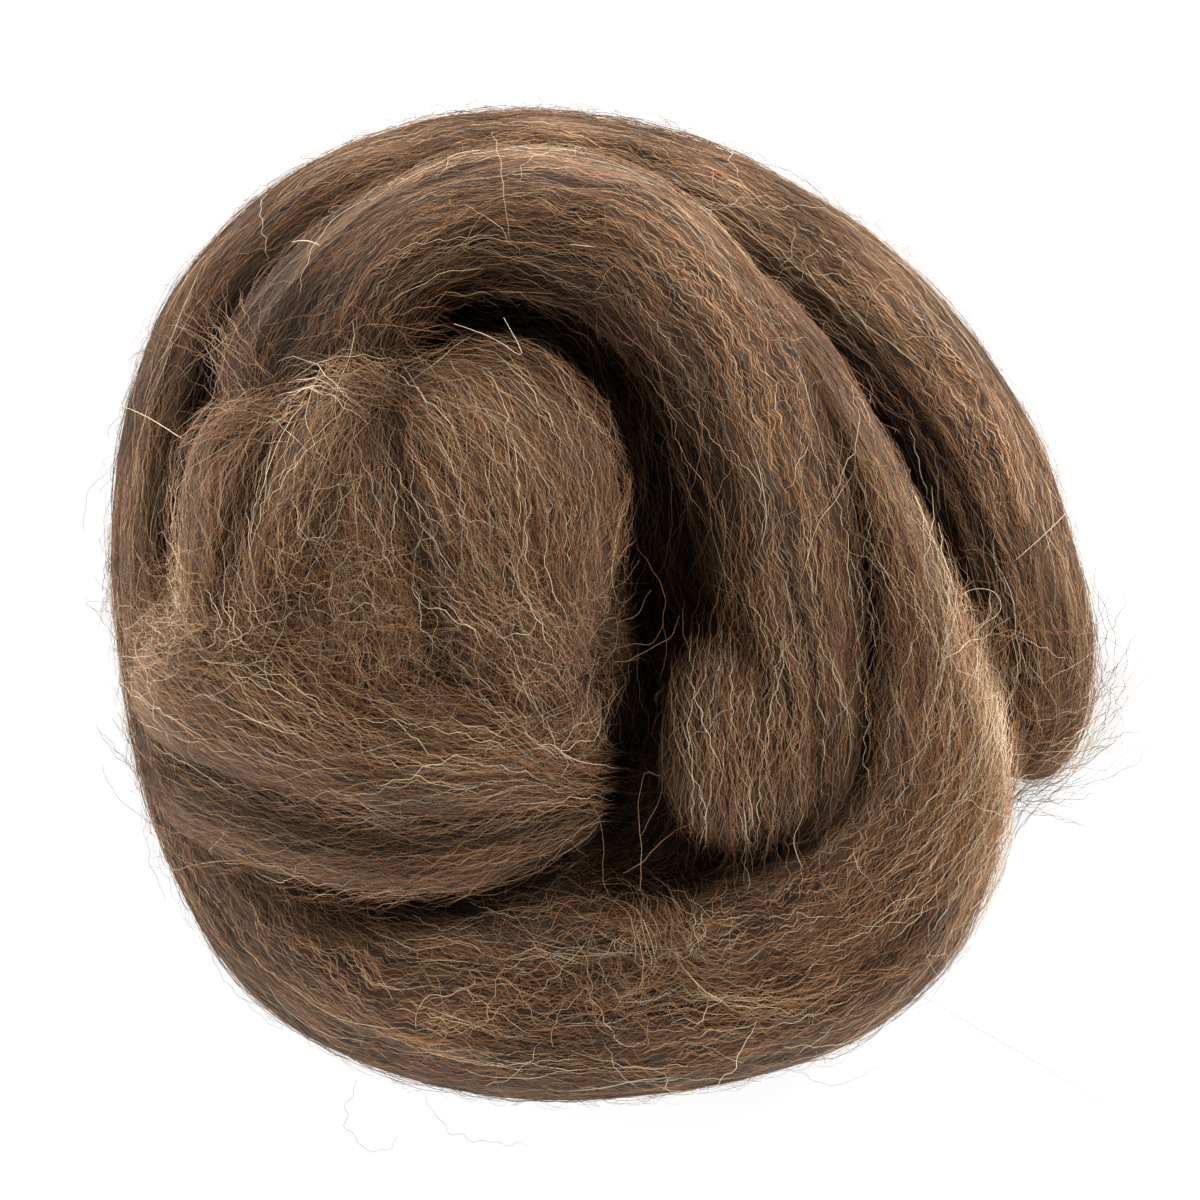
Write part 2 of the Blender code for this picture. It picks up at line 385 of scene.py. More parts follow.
def patch_noise(along: Array, around: Array, cells: tuple[int, int], seed: int) -> Array:
    """Smooth noise: random heights on a lattice, eased between its points by 3t^2 - 2t^3.

    Args:
        along: Place along the surface, 0 to 1.
        around: Place around it, in turns, which wraps.
        cells: How many cells the lattice has along and around.
        seed: Seed of the heights.

    Returns:
        Heights from -1 to 1.
    """
    heights = np.random.default_rng(seed).uniform(-1, 1, (cells[0] + 1, cells[1]))
    x = np.clip(along, 0, 1) * cells[0]
    y = np.mod(around, 1.0) * cells[1]
    i = np.minimum(x.astype(int), cells[0] - 1)
    j = y.astype(int) % cells[1]
    u, v = x - i, y - np.floor(y)
    u, v = u * u * (3 - 2 * u), v * v * (3 - 2 * v)
    k = (j + 1) % cells[1]
    near = heights[i, j] * (1 - v) + heights[i, k] * v
    far = heights[i + 1, j] * (1 - v) + heights[i + 1, k] * v
    return near * (1 - u) + far * u


def waves(rng: np.random.Generator, count: int, run: Array, lengths: tuple[float, float]) -> Array:
    """A slow random wave for each hair: the mean of two sines of random length and phase.

    Args:
        rng: Source of the random draws.
        count: How many hairs.
        run: Distances along a hair, in mm.
        lengths: Shortest and longest wave, in mm.

    Returns:
        An array of count rows, one value for each distance, from -1 to 1.
    """
    total = np.zeros((count, len(run)))
    for _ in range(2):
        wave = rng.uniform(*lengths, (count, 1))
        phase = rng.uniform(0, 2 * math.pi, (count, 1))
        total += 0.5 * np.sin(2 * math.pi * run / wave + phase)
    return total


def rare_heights(rng: np.random.Generator, count: int) -> Array:
    """Random factors of 1 on average: most are lower, a few are up to 3."""
    return np.minimum(rng.exponential(1.0, count), 3.0)


def bowed(points: int) -> Array:
    """How far each point of a hair is up: sin^0.6 of half a turn, 0 at both ends, 1 between."""
    return np.sin(math.pi * np.linspace(0.0, 1.0, points)) ** 0.6


def to_metres(points: Array, lowest: float) -> Array:
    """Moves points from the tables' mm into the part's frame.

    Args:
        points: The points, in mm.
        lowest: Least height above the table, in mm, to which lower points are raised.

    Returns:
        The points, in metres.
    """
    placed = points - SHIFT
    placed[..., 2] = np.maximum(placed[..., 2], lowest)
    return placed * MM


# --------------------------------------------------------------------------------------------
# Finishes
# --------------------------------------------------------------------------------------------


@dataclass(frozen=True)
class HairFinish:
    """One colour of hair in the blend."""

    colour: Colour
    roughness: float = 0.5
    shine: float = 0.2

    def material(self, name: str) -> bpy.types.Material:
        """A plain hair material: one colour to a hair, softly glossy along it.

        Args:
            name: The material's name.

        Returns:
            The new material.
        """
        material = bpy.data.materials.new(name)
        material.use_nodes = True
        shader = material.node_tree.nodes["Principled BSDF"]
        shader.inputs["Base Color"].default_value = (*self.colour, 1.0)
        shader.inputs["Roughness"].default_value = self.roughness
        shader.inputs["Specular IOR Level"].default_value = self.shine
        return material


class Tone(Enum):
    """The hair colours that natural brown wool mixes."""

    UMBER = HairFinish((0.036, 0.019, 0.010))
    BROWN = HairFinish((0.135, 0.068, 0.034))
    RUST = HairFinish((0.270, 0.112, 0.046))
    GREY = HairFinish((0.250, 0.190, 0.135))
    TAN = HairFinish((0.335, 0.192, 0.098))
    STRAW = HairFinish((0.480, 0.310, 0.165))
    PALE = HairFinish((0.760, 0.620, 0.430), roughness=0.42)


class Blend(Enum):
    """How often each tone comes up, in the order of Tone, which is from dark to light."""

    COIL = (0.22, 0.30, 0.15, 0.05, 0.20, 0.07, 0.01)
    # Warmer, lighter blend for the ridge's crest: partly rusty wool, partly a painted highlight
    # where the crest is lit.
    RUST_AND_HIGHLIGHT = (0.14, 0.26, 0.28, 0.03, 0.22, 0.06, 0.01)
    BALL = (0.19, 0.27, 0.16, 0.04, 0.23, 0.10, 0.01)
    # Darkest hairs, for wool that lies deep in the nest: painted shade.
    PAINTED_SHADE = (0.48, 0.34, 0.09, 0.02, 0.06, 0.01, 0.00)
    FUZZ = (0.06, 0.24, 0.14, 0.10, 0.32, 0.12, 0.02)
    LIGHT = (0.02, 0.14, 0.16, 0.10, 0.38, 0.18, 0.02)
    GROUND = (0.26, 0.38, 0.11, 0.04, 0.17, 0.04, 0.00)
    HAZE = (0.08, 0.38, 0.10, 0.08, 0.28, 0.08, 0.00)

    def draw(self, rng: np.random.Generator, count: int, bias: Array | float = 0.0) -> Array:
        """Draws tones: an even random share plus the bias, read off the running total of shares.

        Args:
            rng: Source of the random draws.
            count: How many tones.
            bias: Above 0 for lighter hairs, below 0 for darker ones.

        Returns:
            The place of each tone in Tone.
        """
        shares = np.clip(rng.random(count) + bias, 0.0, 0.999)
        return np.searchsorted(np.cumsum(self.value), shares * sum(self.value), side="right")


@dataclass(frozen=True)
class Fibres:
    """One layer of fibres in the wool's pattern. Each fibre has a lane of its own along the strand
    and swings in it as the crimp does. Lengths are in cm, the turn is in radians."""

    lanes: float
    turn: float
    blend: Blend
    width: float = 0.008
    swing: float = 1.9
    crimp_scale: float = 4.4
    broken: tuple[float, float] = (0.40, 0.46)
    broken_scale: float = 0.8
    seed: float = 1.0


@dataclass(frozen=True)
class Sketch:
    """The nodes of one material. Each method adds what it needs and hands back its output."""

    tree: bpy.types.NodeTree

    def node(self, kind: str, **settings: str) -> bpy.types.Node:
        """Adds a node.

        Args:
            kind: Its kind, without the prefix that all kinds share.
            settings: Its own settings.

        Returns:
            The node.
        """
        node = self.tree.nodes.new(f"ShaderNode{kind}")
        for name, value in settings.items():
            setattr(node, name, value)
        return node

    def feed(self, socket: Socket, value: Socket | float | tuple[float, ...]) -> None:
        """Feeds a socket from another one, or sets a constant on it.

        Args:
            socket: The socket.
            value: Where its value comes from, or the constant.
        """
        if isinstance(value, bpy.types.NodeSocket):
            self.tree.links.new(value, socket)
        else:
            socket.default_value = value

    def math(self, operation: str, first: Socket, second: Socket | float | None = None) -> Socket:
        """Does arithmetic on a value.

        Args:
            operation: What to do.
            first: The value.
            second: What to do it with, if anything.

        Returns:
            The result.
        """
        node = self.node("Math", operation=operation)
        self.feed(node.inputs[0], first)
        if second is not None:
            self.feed(node.inputs[1], second)
        return node.outputs["Value"]

    def mapped(self, source: Socket, scale: tuple[float, float], turn: float = 0.0,
               shift: float = 0.0) -> Socket:
        """Coordinates times a scale, turned and shifted.

        Args:
            source: The coordinates.
            scale: Their factors, along and across.
            turn: The turn, in radians.
            shift: The shift across the strand.

        Returns:
            The new coordinates.
        """
        node = self.node("Mapping")
        self.feed(node.inputs["Vector"], source)
        self.feed(node.inputs["Scale"], (*scale, 1.0))
        self.feed(node.inputs["Rotation"], (0.0, 0.0, turn))
        self.feed(node.inputs["Location"], (0.0, shift, 0.0))
        return node.outputs["Vector"]

    def noise(self, place: Socket, detail: float = 0.0) -> bpy.types.Node:
        """Noise with one wave to the unit.

        Args:
            place: Where to read it.
            detail: How many finer noises are added.

        Returns:
            The noise node.
        """
        node = self.node("TexNoise", noise_dimensions="2D")
        self.feed(node.inputs["Vector"], place)
        self.feed(node.inputs["Scale"], 1.0)
        self.feed(node.inputs["Detail"], detail)
        self.feed(node.inputs["Roughness"], 0.55)
        return node

    def ranged(self, value: Socket, low: float, high: float) -> Socket:
        """Stretches a value's part from low to high over 0 to 1.

        Args:
            value: What to stretch.
            low: What becomes 0.
            high: What becomes 1.

        Returns:
            The stretched value.
        """
        node = self.node("MapRange")
        self.feed(node.inputs["Value"], value)
        self.feed(node.inputs["From Min"], low)
        self.feed(node.inputs["From Max"], high)
        return node.outputs["Result"]

    def mixed(self, share: Socket, under: Socket | Colour, over: Socket | Colour) -> Socket:
        """Mixes a colour over another.

        Args:
            share: How much of the second colour shows.
            under: The first colour, or where it comes from.
            over: The second colour, or where it comes from.

        Returns:
            The mixed colour.
        """
        node = self.node("Mix", data_type="RGBA")
        sockets = [socket for socket in node.inputs if socket.type == "RGBA"]
        for socket, value in zip(sockets, (under, over)):
            self.feed(socket, (*value, 1.0) if isinstance(value, tuple) else value)
        self.feed(node.inputs["Factor"], share)
        return next(socket for socket in node.outputs if socket.type == "RGBA")

    def tone(self, pick: Socket, blend: Blend) -> Socket:
        """Turns an even random value into a tone, each as often as the blend says.

        Args:
            pick: The value, 0 to 1.
            blend: How often each tone comes up.

        Returns:
            The colour.
        """
        ramp = self.node("ValToRGB")
        ramp.color_ramp.interpolation = "CONSTANT"
        elements = ramp.color_ramp.elements
        elements.remove(elements[1])
        start = 0.0
        for tone, share in zip(Tone, blend.value):
            element = elements[0] if start == 0.0 else elements.new(start)
            element.color = (*tone.value.colour, 1.0)
            start += share / sum(blend.value)
        self.feed(ramp.inputs["Fac"], pick)
        return ramp.outputs["Color"]

    def with_painted_shading(self, colour: Socket) -> Socket:
        """A colour times the mesh's painted light and shade, which is 1 for wool of the usual tone
        and light.

        Args:
            colour: The colour of wool of the usual tone.

        Returns:
            The colour of the wool there.
        """
        painted_shading_and_tone = self.node("Attribute", attribute_name=PAINTED_SHADING_LAYER)
        node = self.node("VectorMath", operation="SCALE")
        self.feed(node.inputs[0], colour)
        self.feed(node.inputs["Scale"], painted_shading_and_tone.outputs["Fac"])
        return node.outputs["Vector"]


@dataclass(frozen=True)
class WoolFinish:
    """Wool drawn fibre by fibre: layers of fibres over a dark ground, partly the wool's dark brown
    and partly painted shade among the packed fibres.

    Colours are linear. The pattern reads the strand's own map, in cm along and around it.
    """

    name: str
    layers: tuple[Fibres, ...]
    # The ground: gap is painted shade, the near-black between the fibres; body is the wool's dark
    # brown, darkened by painted shade.
    gap: Colour = (0.010, 0.006, 0.004)
    body: Colour = (0.060, 0.033, 0.018)
    streak_scale: tuple[float, float] = (0.6, 4.5)
    streak_range: tuple[float, float] = (0.36, 0.64)
    sway: float = 0.14
    sway_scale: tuple[float, float] = (0.9, 0.8)
    crimp: float = 0.05
    crimp_scale: tuple[float, float] = (4.2, 1.3)
    soft_edge: float = 0.3
    bump_height: float = 0.09
    roughness: float = 0.75
    shine: float = 0.15

    def material(self) -> bpy.types.Material:
        """Makes the node material.

        Returns:
            The new material.
        """
        material = bpy.data.materials.new(self.name)
        material.use_nodes = True
        shader = material.node_tree.nodes["Principled BSDF"]
        shader.inputs["Roughness"].default_value = self.roughness
        shader.inputs["Specular IOR Level"].default_value = self.shine
        sketch = Sketch(material.node_tree)

        bent = sketch.node("UVMap", uv_map=STRAND_MAP).outputs["UV"]
        bent = self._bent(sketch, bent, self.sway_scale, self.sway)
        bent = self._bent(sketch, bent, self.crimp_scale, self.crimp)
        streaks = sketch.noise(sketch.mapped(bent, self.streak_scale), 1.0).outputs["Fac"]
        # The ground mixes the painted shade of the gaps with the dark body in streaks.
        colour = sketch.mixed(sketch.ranged(streaks, *self.streak_range), self.gap, self.body)
        cover = None
        for layer in self.layers:
            shown, tone = self._fibres(sketch, bent, layer)
            colour = sketch.mixed(shown, colour, tone)
            cover = shown if cover is None else sketch.math("MAXIMUM", cover, shown)
        # Painted light and shade scale the whole colour.
        sketch.feed(shader.inputs["Base Color"], sketch.with_painted_shading(colour))
        bump = sketch.node("Bump")
        sketch.feed(bump.inputs["Strength"], 1.0)
        sketch.feed(bump.inputs["Distance"], self.bump_height * MM)
        sketch.feed(bump.inputs["Height"], cover)
        sketch.feed(shader.inputs["Normal"], bump.outputs["Normal"])
        return material

    @staticmethod
    def _bent(sketch: Sketch, source: Socket, scale: tuple[float, float], amount: float) -> Socket:
        """Pushes the pattern to and fro across the strand by a noise.

        Args:
            sketch: The material's nodes.
            source: The coordinates.
            scale: Waves of the noise to the cm, along and across.
            amount: How far it pushes, in cm.

        Returns:
            The new coordinates.
        """
        push = sketch.node("VectorMath", operation="MULTIPLY_ADD")
        sketch.feed(push.inputs[0], sketch.noise(sketch.mapped(source, scale)).outputs["Color"])
        sketch.feed(push.inputs[1], (0.0, 2 * amount, 0.0))
        sketch.feed(push.inputs[2], source)
        return push.outputs["Vector"]

    def _fibres(self, sketch: Sketch, source: Socket, layer: Fibres) -> tuple[Socket, Socket]:
        """Draws one layer. A fibre shows where the distance from the middle of its lane, less its
        swing, is below its width, and is broken off where a slow noise along the lane is low.

        Args:
            sketch: The material's nodes.
            source: The strand's map.
            layer: What the fibres look like.

        Returns:
            How much of a fibre shows, and its colour.
        """
        parts = sketch.node("SeparateXYZ")
        turned = sketch.mapped(source, (1.0, 1.0), layer.turn, layer.seed)
        sketch.feed(parts.inputs["Vector"], turned)
        along = parts.outputs["X"]
        across = sketch.math("MULTIPLY", parts.outputs["Y"], layer.lanes)
        lane = sketch.math("FLOOR", across)

        crimp = self._along_lane(sketch, along, lane, layer.crimp_scale, CRIMP_APART)
        swing = sketch.math("MULTIPLY", sketch.math("SUBTRACT", crimp, 0.5), layer.swing)
        place = sketch.math("SUBTRACT", sketch.math("FRACT", across), 0.5)
        gap = sketch.math("ABSOLUTE", sketch.math("SUBTRACT", place, swing))
        width = layer.width * layer.lanes
        line = sketch.ranged(gap, width, self.soft_edge * width)
        kept = self._along_lane(sketch, along, lane, layer.broken_scale, BREAKS_APART)
        shown = sketch.math("MULTIPLY", line, sketch.ranged(kept, *layer.broken))

        pick = sketch.node("TexWhiteNoise", noise_dimensions="1D")
        sketch.feed(pick.inputs["W"], sketch.math("ADD", lane, layer.seed))
        return shown, sketch.tone(pick.outputs["Value"], layer.blend)

    @staticmethod
    def _along_lane(sketch: Sketch, along: Socket, lane: Socket, scale: float,
                    apart: float) -> Socket:
        """Noise along a lane, with nothing in common with the noise of the next lane.

        Args:
            sketch: The material's nodes.
            along: Distance along the lane, in cm.
            lane: The lane's number.
            scale: Waves to the cm.
            apart: How far apart neighbouring lanes read the noise.

        Returns:
            The noise, about 0.5.
        """
        place = sketch.node("CombineXYZ")
        sketch.feed(place.inputs["X"], sketch.math("MULTIPLY", along, scale))
        sketch.feed(place.inputs["Y"], sketch.math("MULTIPLY", lane, apart))
        return sketch.noise(place.outputs["Vector"]).outputs["Fac"]


PACKED_WOOL = WoolFinish(
    "packed_wool",
    (
        # The lowest layer has the darkest fibres: painted shade deep among the wool.
        Fibres(22.0, 0.05, Blend.PAINTED_SHADE, width=0.012, seed=1.0, broken=(0.30, 0.36)),
        Fibres(18.0, -0.30, Blend.GROUND, width=0.008, seed=23.0),
        Fibres(17.0, 0.28, Blend.GROUND, width=0.007, seed=41.0),
        Fibres(16.0, -0.08, Blend.GROUND, width=0.0065, seed=67.0),
        Fibres(16.0, 0.16, Blend.HAZE, width=0.0055, seed=107.0, broken=(0.44, 0.50)),
        Fibres(13.0, -0.34, Blend.HAZE, width=0.005, seed=131.0, broken=(0.47, 0.53)),
    ),
)


# --------------------------------------------------------------------------------------------
# Meshes
# --------------------------------------------------------------------------------------------


def make_mesh(
    name: str,
    points: Array,
    quads: Array,
    triangles: Array,
    slots: Array | None = None,
) -> bpy.types.Mesh:
    """Puts whole arrays into a mesh: first all four-sided faces, then all three-sided ones.

    Args:
        name: The mesh's name.
        points: Corner points, in metres.
        quads: Four corners to a row.
        triangles: Three corners to a row.
        slots: Material slot of each face, in the same order.

    Returns:
        The mesh, shaded smooth.
    """
    mesh = bpy.data.meshes.new(name)
    mesh.vertices.add(len(points))
    mesh.vertices.foreach_set("co", points.astype(np.float32).ravel())
    corners = np.concatenate([quads.ravel(), triangles.ravel()])
    sizes = np.concatenate([np.full(len(quads), 4), np.full(len(triangles), 3)])
    mesh.loops.add(len(corners))
    mesh.loops.foreach_set("vertex_index", corners.astype(np.int32))
    mesh.polygons.add(len(sizes))
    starts = np.concatenate([[0], np.cumsum(sizes)[:-1]])
    mesh.polygons.foreach_set("loop_start", starts.astype(np.int32))
    mesh.polygons.foreach_set("use_smooth", np.ones(len(sizes), bool))
    if slots is not None:
        mesh.polygons.foreach_set("material_index", slots.astype(np.int32))
    mesh.update(calc_edges=True)
    mesh.validate()
    return mesh


def add_piece(name: str, mesh: bpy.types.Mesh) -> bpy.types.Object:
    """Makes a mesh a piece of the nest that stands for part of the solid.

    Args:
        name: The piece's name.
        mesh: Its mesh, in the part's frame.

    Returns:
        The new object, at the origin.
    """
    piece = bpy.data.objects.new(name, mesh)
    bpy.context.scene.collection.objects.link(piece)
    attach(piece, BODY)
    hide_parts(NODE)
    count = sum(len(p.vertices) - 2 for p in mesh.polygons)
    LOG.info("%s: %d triangles", name, count)
    return piece


# --------------------------------------------------------------------------------------------
# The strand
# --------------------------------------------------------------------------------------------


@dataclass
class Shell:
    """A closed surface as arrays: points in mm, faces with four and with three corners, and the
    places of their corners on the strand's map."""

    points: Array
    quads: Array
    triangles: Array
    quad_map: Array
    triangle_map: Array


@dataclass
class Stretch:
    """One stretch of the strand: an oval section carried along a path, ridged along its length."""

    name: str
    rows: Table
    along_step: float = 2.6
    around_step: float = 0.85
    sunk: float = 0.5
    lump: float = 0.8
    ridge: float = 0.5
    fine_ridge: float = 0.25
    hair_share: float = 1.0
    lean: tuple[float, float] = (0.0, 0.0)
    blend: Blend = Blend.COIL
    seed: int = 1
    run: Array = field(init=False, repr=False)
    frame: Array = field(init=False, repr=False)
    ends: tuple[float, float] = field(init=False)

    def __post_init__(self) -> None:
        """Works out the path at 1 mm steps: middle, directions and half sizes."""
        table = np.array(self.rows, float)
        self.run, path = even_path(table, 1.0)
        ahead = unit(np.gradient(path[:, :3], axis=0))
        across = unit(np.cross((0.0, 0.0, 1.0), ahead))
        upward = np.cross(ahead, across)
        self.frame = np.hstack([path[:, :3], ahead, across, upward, path[:, 3:5]])
        self.ends = (table[0, 3:5].mean(), table[-1, 3:5].mean())

    @property
    def length(self) -> float:
        """Length of the path, in mm."""
        return float(self.run[-1])

    @property
    def girth(self) -> float:
        """Mean way round the section, in mm."""
        return float(2 * math.pi * np.sqrt((self.frame[:, WIDE:] ** 2).mean()))

    def read(self, s: Array) -> Array:
        """The path's columns at distances s along it."""
        return np.stack([np.interp(s, self.run, column) for column in self.frame.T], axis=-1)

    def drawn_in(self, s: Array) -> Array:
        """How far the section is drawn in, which rounds both ends as quarter circles: at either
        end, the root of 1 - (share of the way to the full section that is left)^2.

        Args:
            s: Distance along the path, in mm.

        Returns:
            The factors, 0 at the very ends and 1 between.
        """
        first = np.clip(1 - s / self.ends[0], 0, 1)
        last = np.clip(1 - (self.length - s) / self.ends[1], 0, 1)
        return np.sqrt(1 - first**2) * np.sqrt(1 - last**2)

    def surface(self, s: Array, angle: Array, lift: Array | float = 0.0) -> tuple[Array, Array]:
        """Point of the oval surface: middle + across (half width + lift) cos(angle) + upward
        (half height + lift) sin(angle), drawn in at the ends.

        Args:
            s: Distance along the path, in mm.
            angle: Angle round the section, which is a quarter turn at the top.
            lift: Height above the oval, in mm.

        Returns:
            The points, and the outward directions there.
        """
        at = self.read(s)
        across, upward = at[..., ACROSS], at[..., UPWARD]
        drawn = self.drawn_in(s)
        side, rise = np.cos(angle), np.sin(angle)
        wide = (at[..., WIDE] + lift) * drawn * side
        high = (at[..., HIGH] + lift) * drawn * rise
        points = at[..., MIDDLE] + across * wide[..., None] + upward * high[..., None]
        slope = np.clip(1 - s / self.ends[0], 0, 1)
        slope = slope - np.clip(1 - (self.length - s) / self.ends[1], 0, 1)
        slope = slope[..., None]
        outward = unit(
            across * (side / at[..., WIDE])[..., None] + upward * (rise / at[..., HIGH])[..., None]
        )
        return points, unit(outward * np.sqrt(1 - slope**2) - at[..., AHEAD] * slope)

    def relief(self, s: Array, angle: Array) -> Array:
        """Height of the ridges: noise in cells long along the strand and narrow across it, sheared
        by the lean, at three sizes.

        Args:
            s: Distance along the path, in mm.
            angle: Angle round the section.

        Returns:
            Heights, in mm.
        """
        along = s / self.length
        turn = angle / (2 * math.pi) + self.leaning(along) * s / self.girth
        heights = (self.lump, self.ridge, self.fine_ridge)
        total = np.zeros_like(along)
        for k, (cell, height) in enumerate(zip(RIDGE_CELLS, heights)):
            total += height * patch_noise(along, turn, self.lattice(cell), 100 * self.seed + k)
        return total

    def lattice(self, cell: tuple[float, float]) -> tuple[int, int]:
        """How many cells of a size in mm, along and round, fit on the stretch."""
        return max(2, round(self.length / cell[0])), max(4, round(self.girth / cell[1]))

    def leaning(self, along: Array) -> Array:
        """How far the fibres have crept round the strand for each length of it: the tangent of the
        mean lean from its start.

        Args:
            along: Place along the path, 0 to 1.

        Returns:
            The tangents.
        """
        lean = self.lean[0] + (self.lean[1] - self.lean[0]) * along / 2
        return np.tan(np.clip(lean, -STEEPEST_LEAN, STEEPEST_LEAN))

    def lever(self, s: Array, angle: Array) -> Array:
        """How far a point of the section moves for each radian that its angle grows.

        Args:
            s: Distance along the path, in mm.
            angle: Angle round the section.

        Returns:
            The lengths, in mm.
        """
        at = self.read(s)
        return np.hypot(at[:, WIDE] * np.sin(angle), at[:, HIGH] * np.cos(angle))

    def streaks(self, s: Array, angle: Array) -> Array:
        """Light and dark streaks along the strand: noise in long, narrow cells.

        Args:
            s: Distance along the path, in mm.
            angle: Angle round the section.

        Returns:
            The noise, -1 to 1.
        """
        cells = self.lattice(STREAK_CELL)
        return patch_noise(s / self.length, angle / (2 * math.pi), cells, 70 + self.seed)

    def shell(self) -> Shell:
        """The stretch's closed surface: rings of points along the path, on the ridged oval, closed
        by a fan of triangles round a pole at either end.

        Returns:
            The surface. Its map tells the place along the strand and around it from the underside,
            in cm.
        """
        turn = np.linspace(0, math.pi / 2, END_RINGS + 1)[1:]
        first = self.ends[0] * (1 - np.cos(turn))
        last = self.length - self.ends[1] * (1 - np.cos(turn[::-1]))
        count = max(2, round((last[0] - first[-1]) / self.along_step))
        s = np.concatenate([first, np.linspace(first[-1], last[0], count + 1)[1:-1], last])
        rows, columns = len(s), max(12, round(self.girth / self.around_step))
        angle = np.linspace(-math.pi / 2, 1.5 * math.pi, columns, endpoint=False)
        grid_s, grid_angle = np.meshgrid(s, angle, indexing="ij")
        points, _ = self.surface(grid_s, grid_angle, self.relief(grid_s, grid_angle) - self.sunk)
        poles = self.read(np.array([0.0, self.length]))[:, MIDDLE]

        i, j = np.meshgrid(np.arange(rows - 1), np.arange(columns), indexing="ij")
        k = (j + 1) % columns
        low, high = i * columns, (i + 1) * columns
        quads = np.stack([low + j, low + k, high + k, high + j], -1)
        quad_map = np.stack([
            np.stack([s[i], s[i], s[i + 1], s[i + 1]], -1),
            np.stack([j, j + 1, j + 1, j], -1) / columns,
        ], -1)
        j = np.arange(columns)
        k = (j + 1) % columns
        last_ring = (rows - 1) * columns
        south, north = np.full(columns, rows * columns), np.full(columns, rows * columns + 1)
        triangles = np.vstack([
            np.stack([south, k, j], -1),
            np.stack([north, last_ring + j, last_ring + k], -1),
        ])
        along = np.repeat([[0.0, s[0], s[0]], [self.length, s[-1], s[-1]]], columns, axis=0)
        around = np.vstack([
            np.stack([j + 0.5, j + 1, j], -1),
            np.stack([j + 0.5, j, j + 1], -1),
        ]) / columns
        triangle_map = np.stack([along, around], -1)
        return Shell(
            np.vstack([points.reshape(-1, 3), poles]),
            quads.reshape(-1, 4),
            triangles,
            self._mapped(quad_map.reshape(-1, 2)),
            self._mapped(triangle_map.reshape(-1, 2)),
        )

    def _mapped(self, places: Array) -> Array:
        """Places on the strand's map, sheared by the lean.

        Args:
            places: Distance along the path in mm, and turns around it.

        Returns:
            Distances along and around, in cm.
        """
        along = places[:, 0] / MM_IN_CM
        around = places[:, 1] * self.girth / MM_IN_CM
        around = around + self.leaning(places[:, 0] / self.length) * along
        return np.stack([along, around], -1) + np.array(MAPS_APART) * self.seed

    def build(self, nest: "Nest", packed: bpy.types.Material) -> None:
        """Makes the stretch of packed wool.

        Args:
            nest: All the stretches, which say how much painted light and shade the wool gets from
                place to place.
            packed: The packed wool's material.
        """
        shell = self.shell()
        mesh = make_mesh(self.name, to_metres(shell.points, 0.0), shell.quads, shell.triangles)
        mesh.materials.append(packed)
        layer = mesh.uv_layers.new(name=STRAND_MAP)
        places = np.concatenate([shell.quad_map, shell.triangle_map])
        layer.data.foreach_set("uv", places.astype(np.float32).ravel())
        # Painted light and shade on the ground: lighter where it lies open, darker in creases, and
        # by the marks.
        pale = np.clip(1 + nest.base_gain * nest.painted_shading_and_tone(shell.points), *PAINTED_SHADING_LIMITS)
        attribute = mesh.attributes.new(PAINTED_SHADING_LAYER, "FLOAT", "POINT")
        attribute.data.foreach_set("value", pale.astype(np.float32))
        add_piece(self.name, mesh)


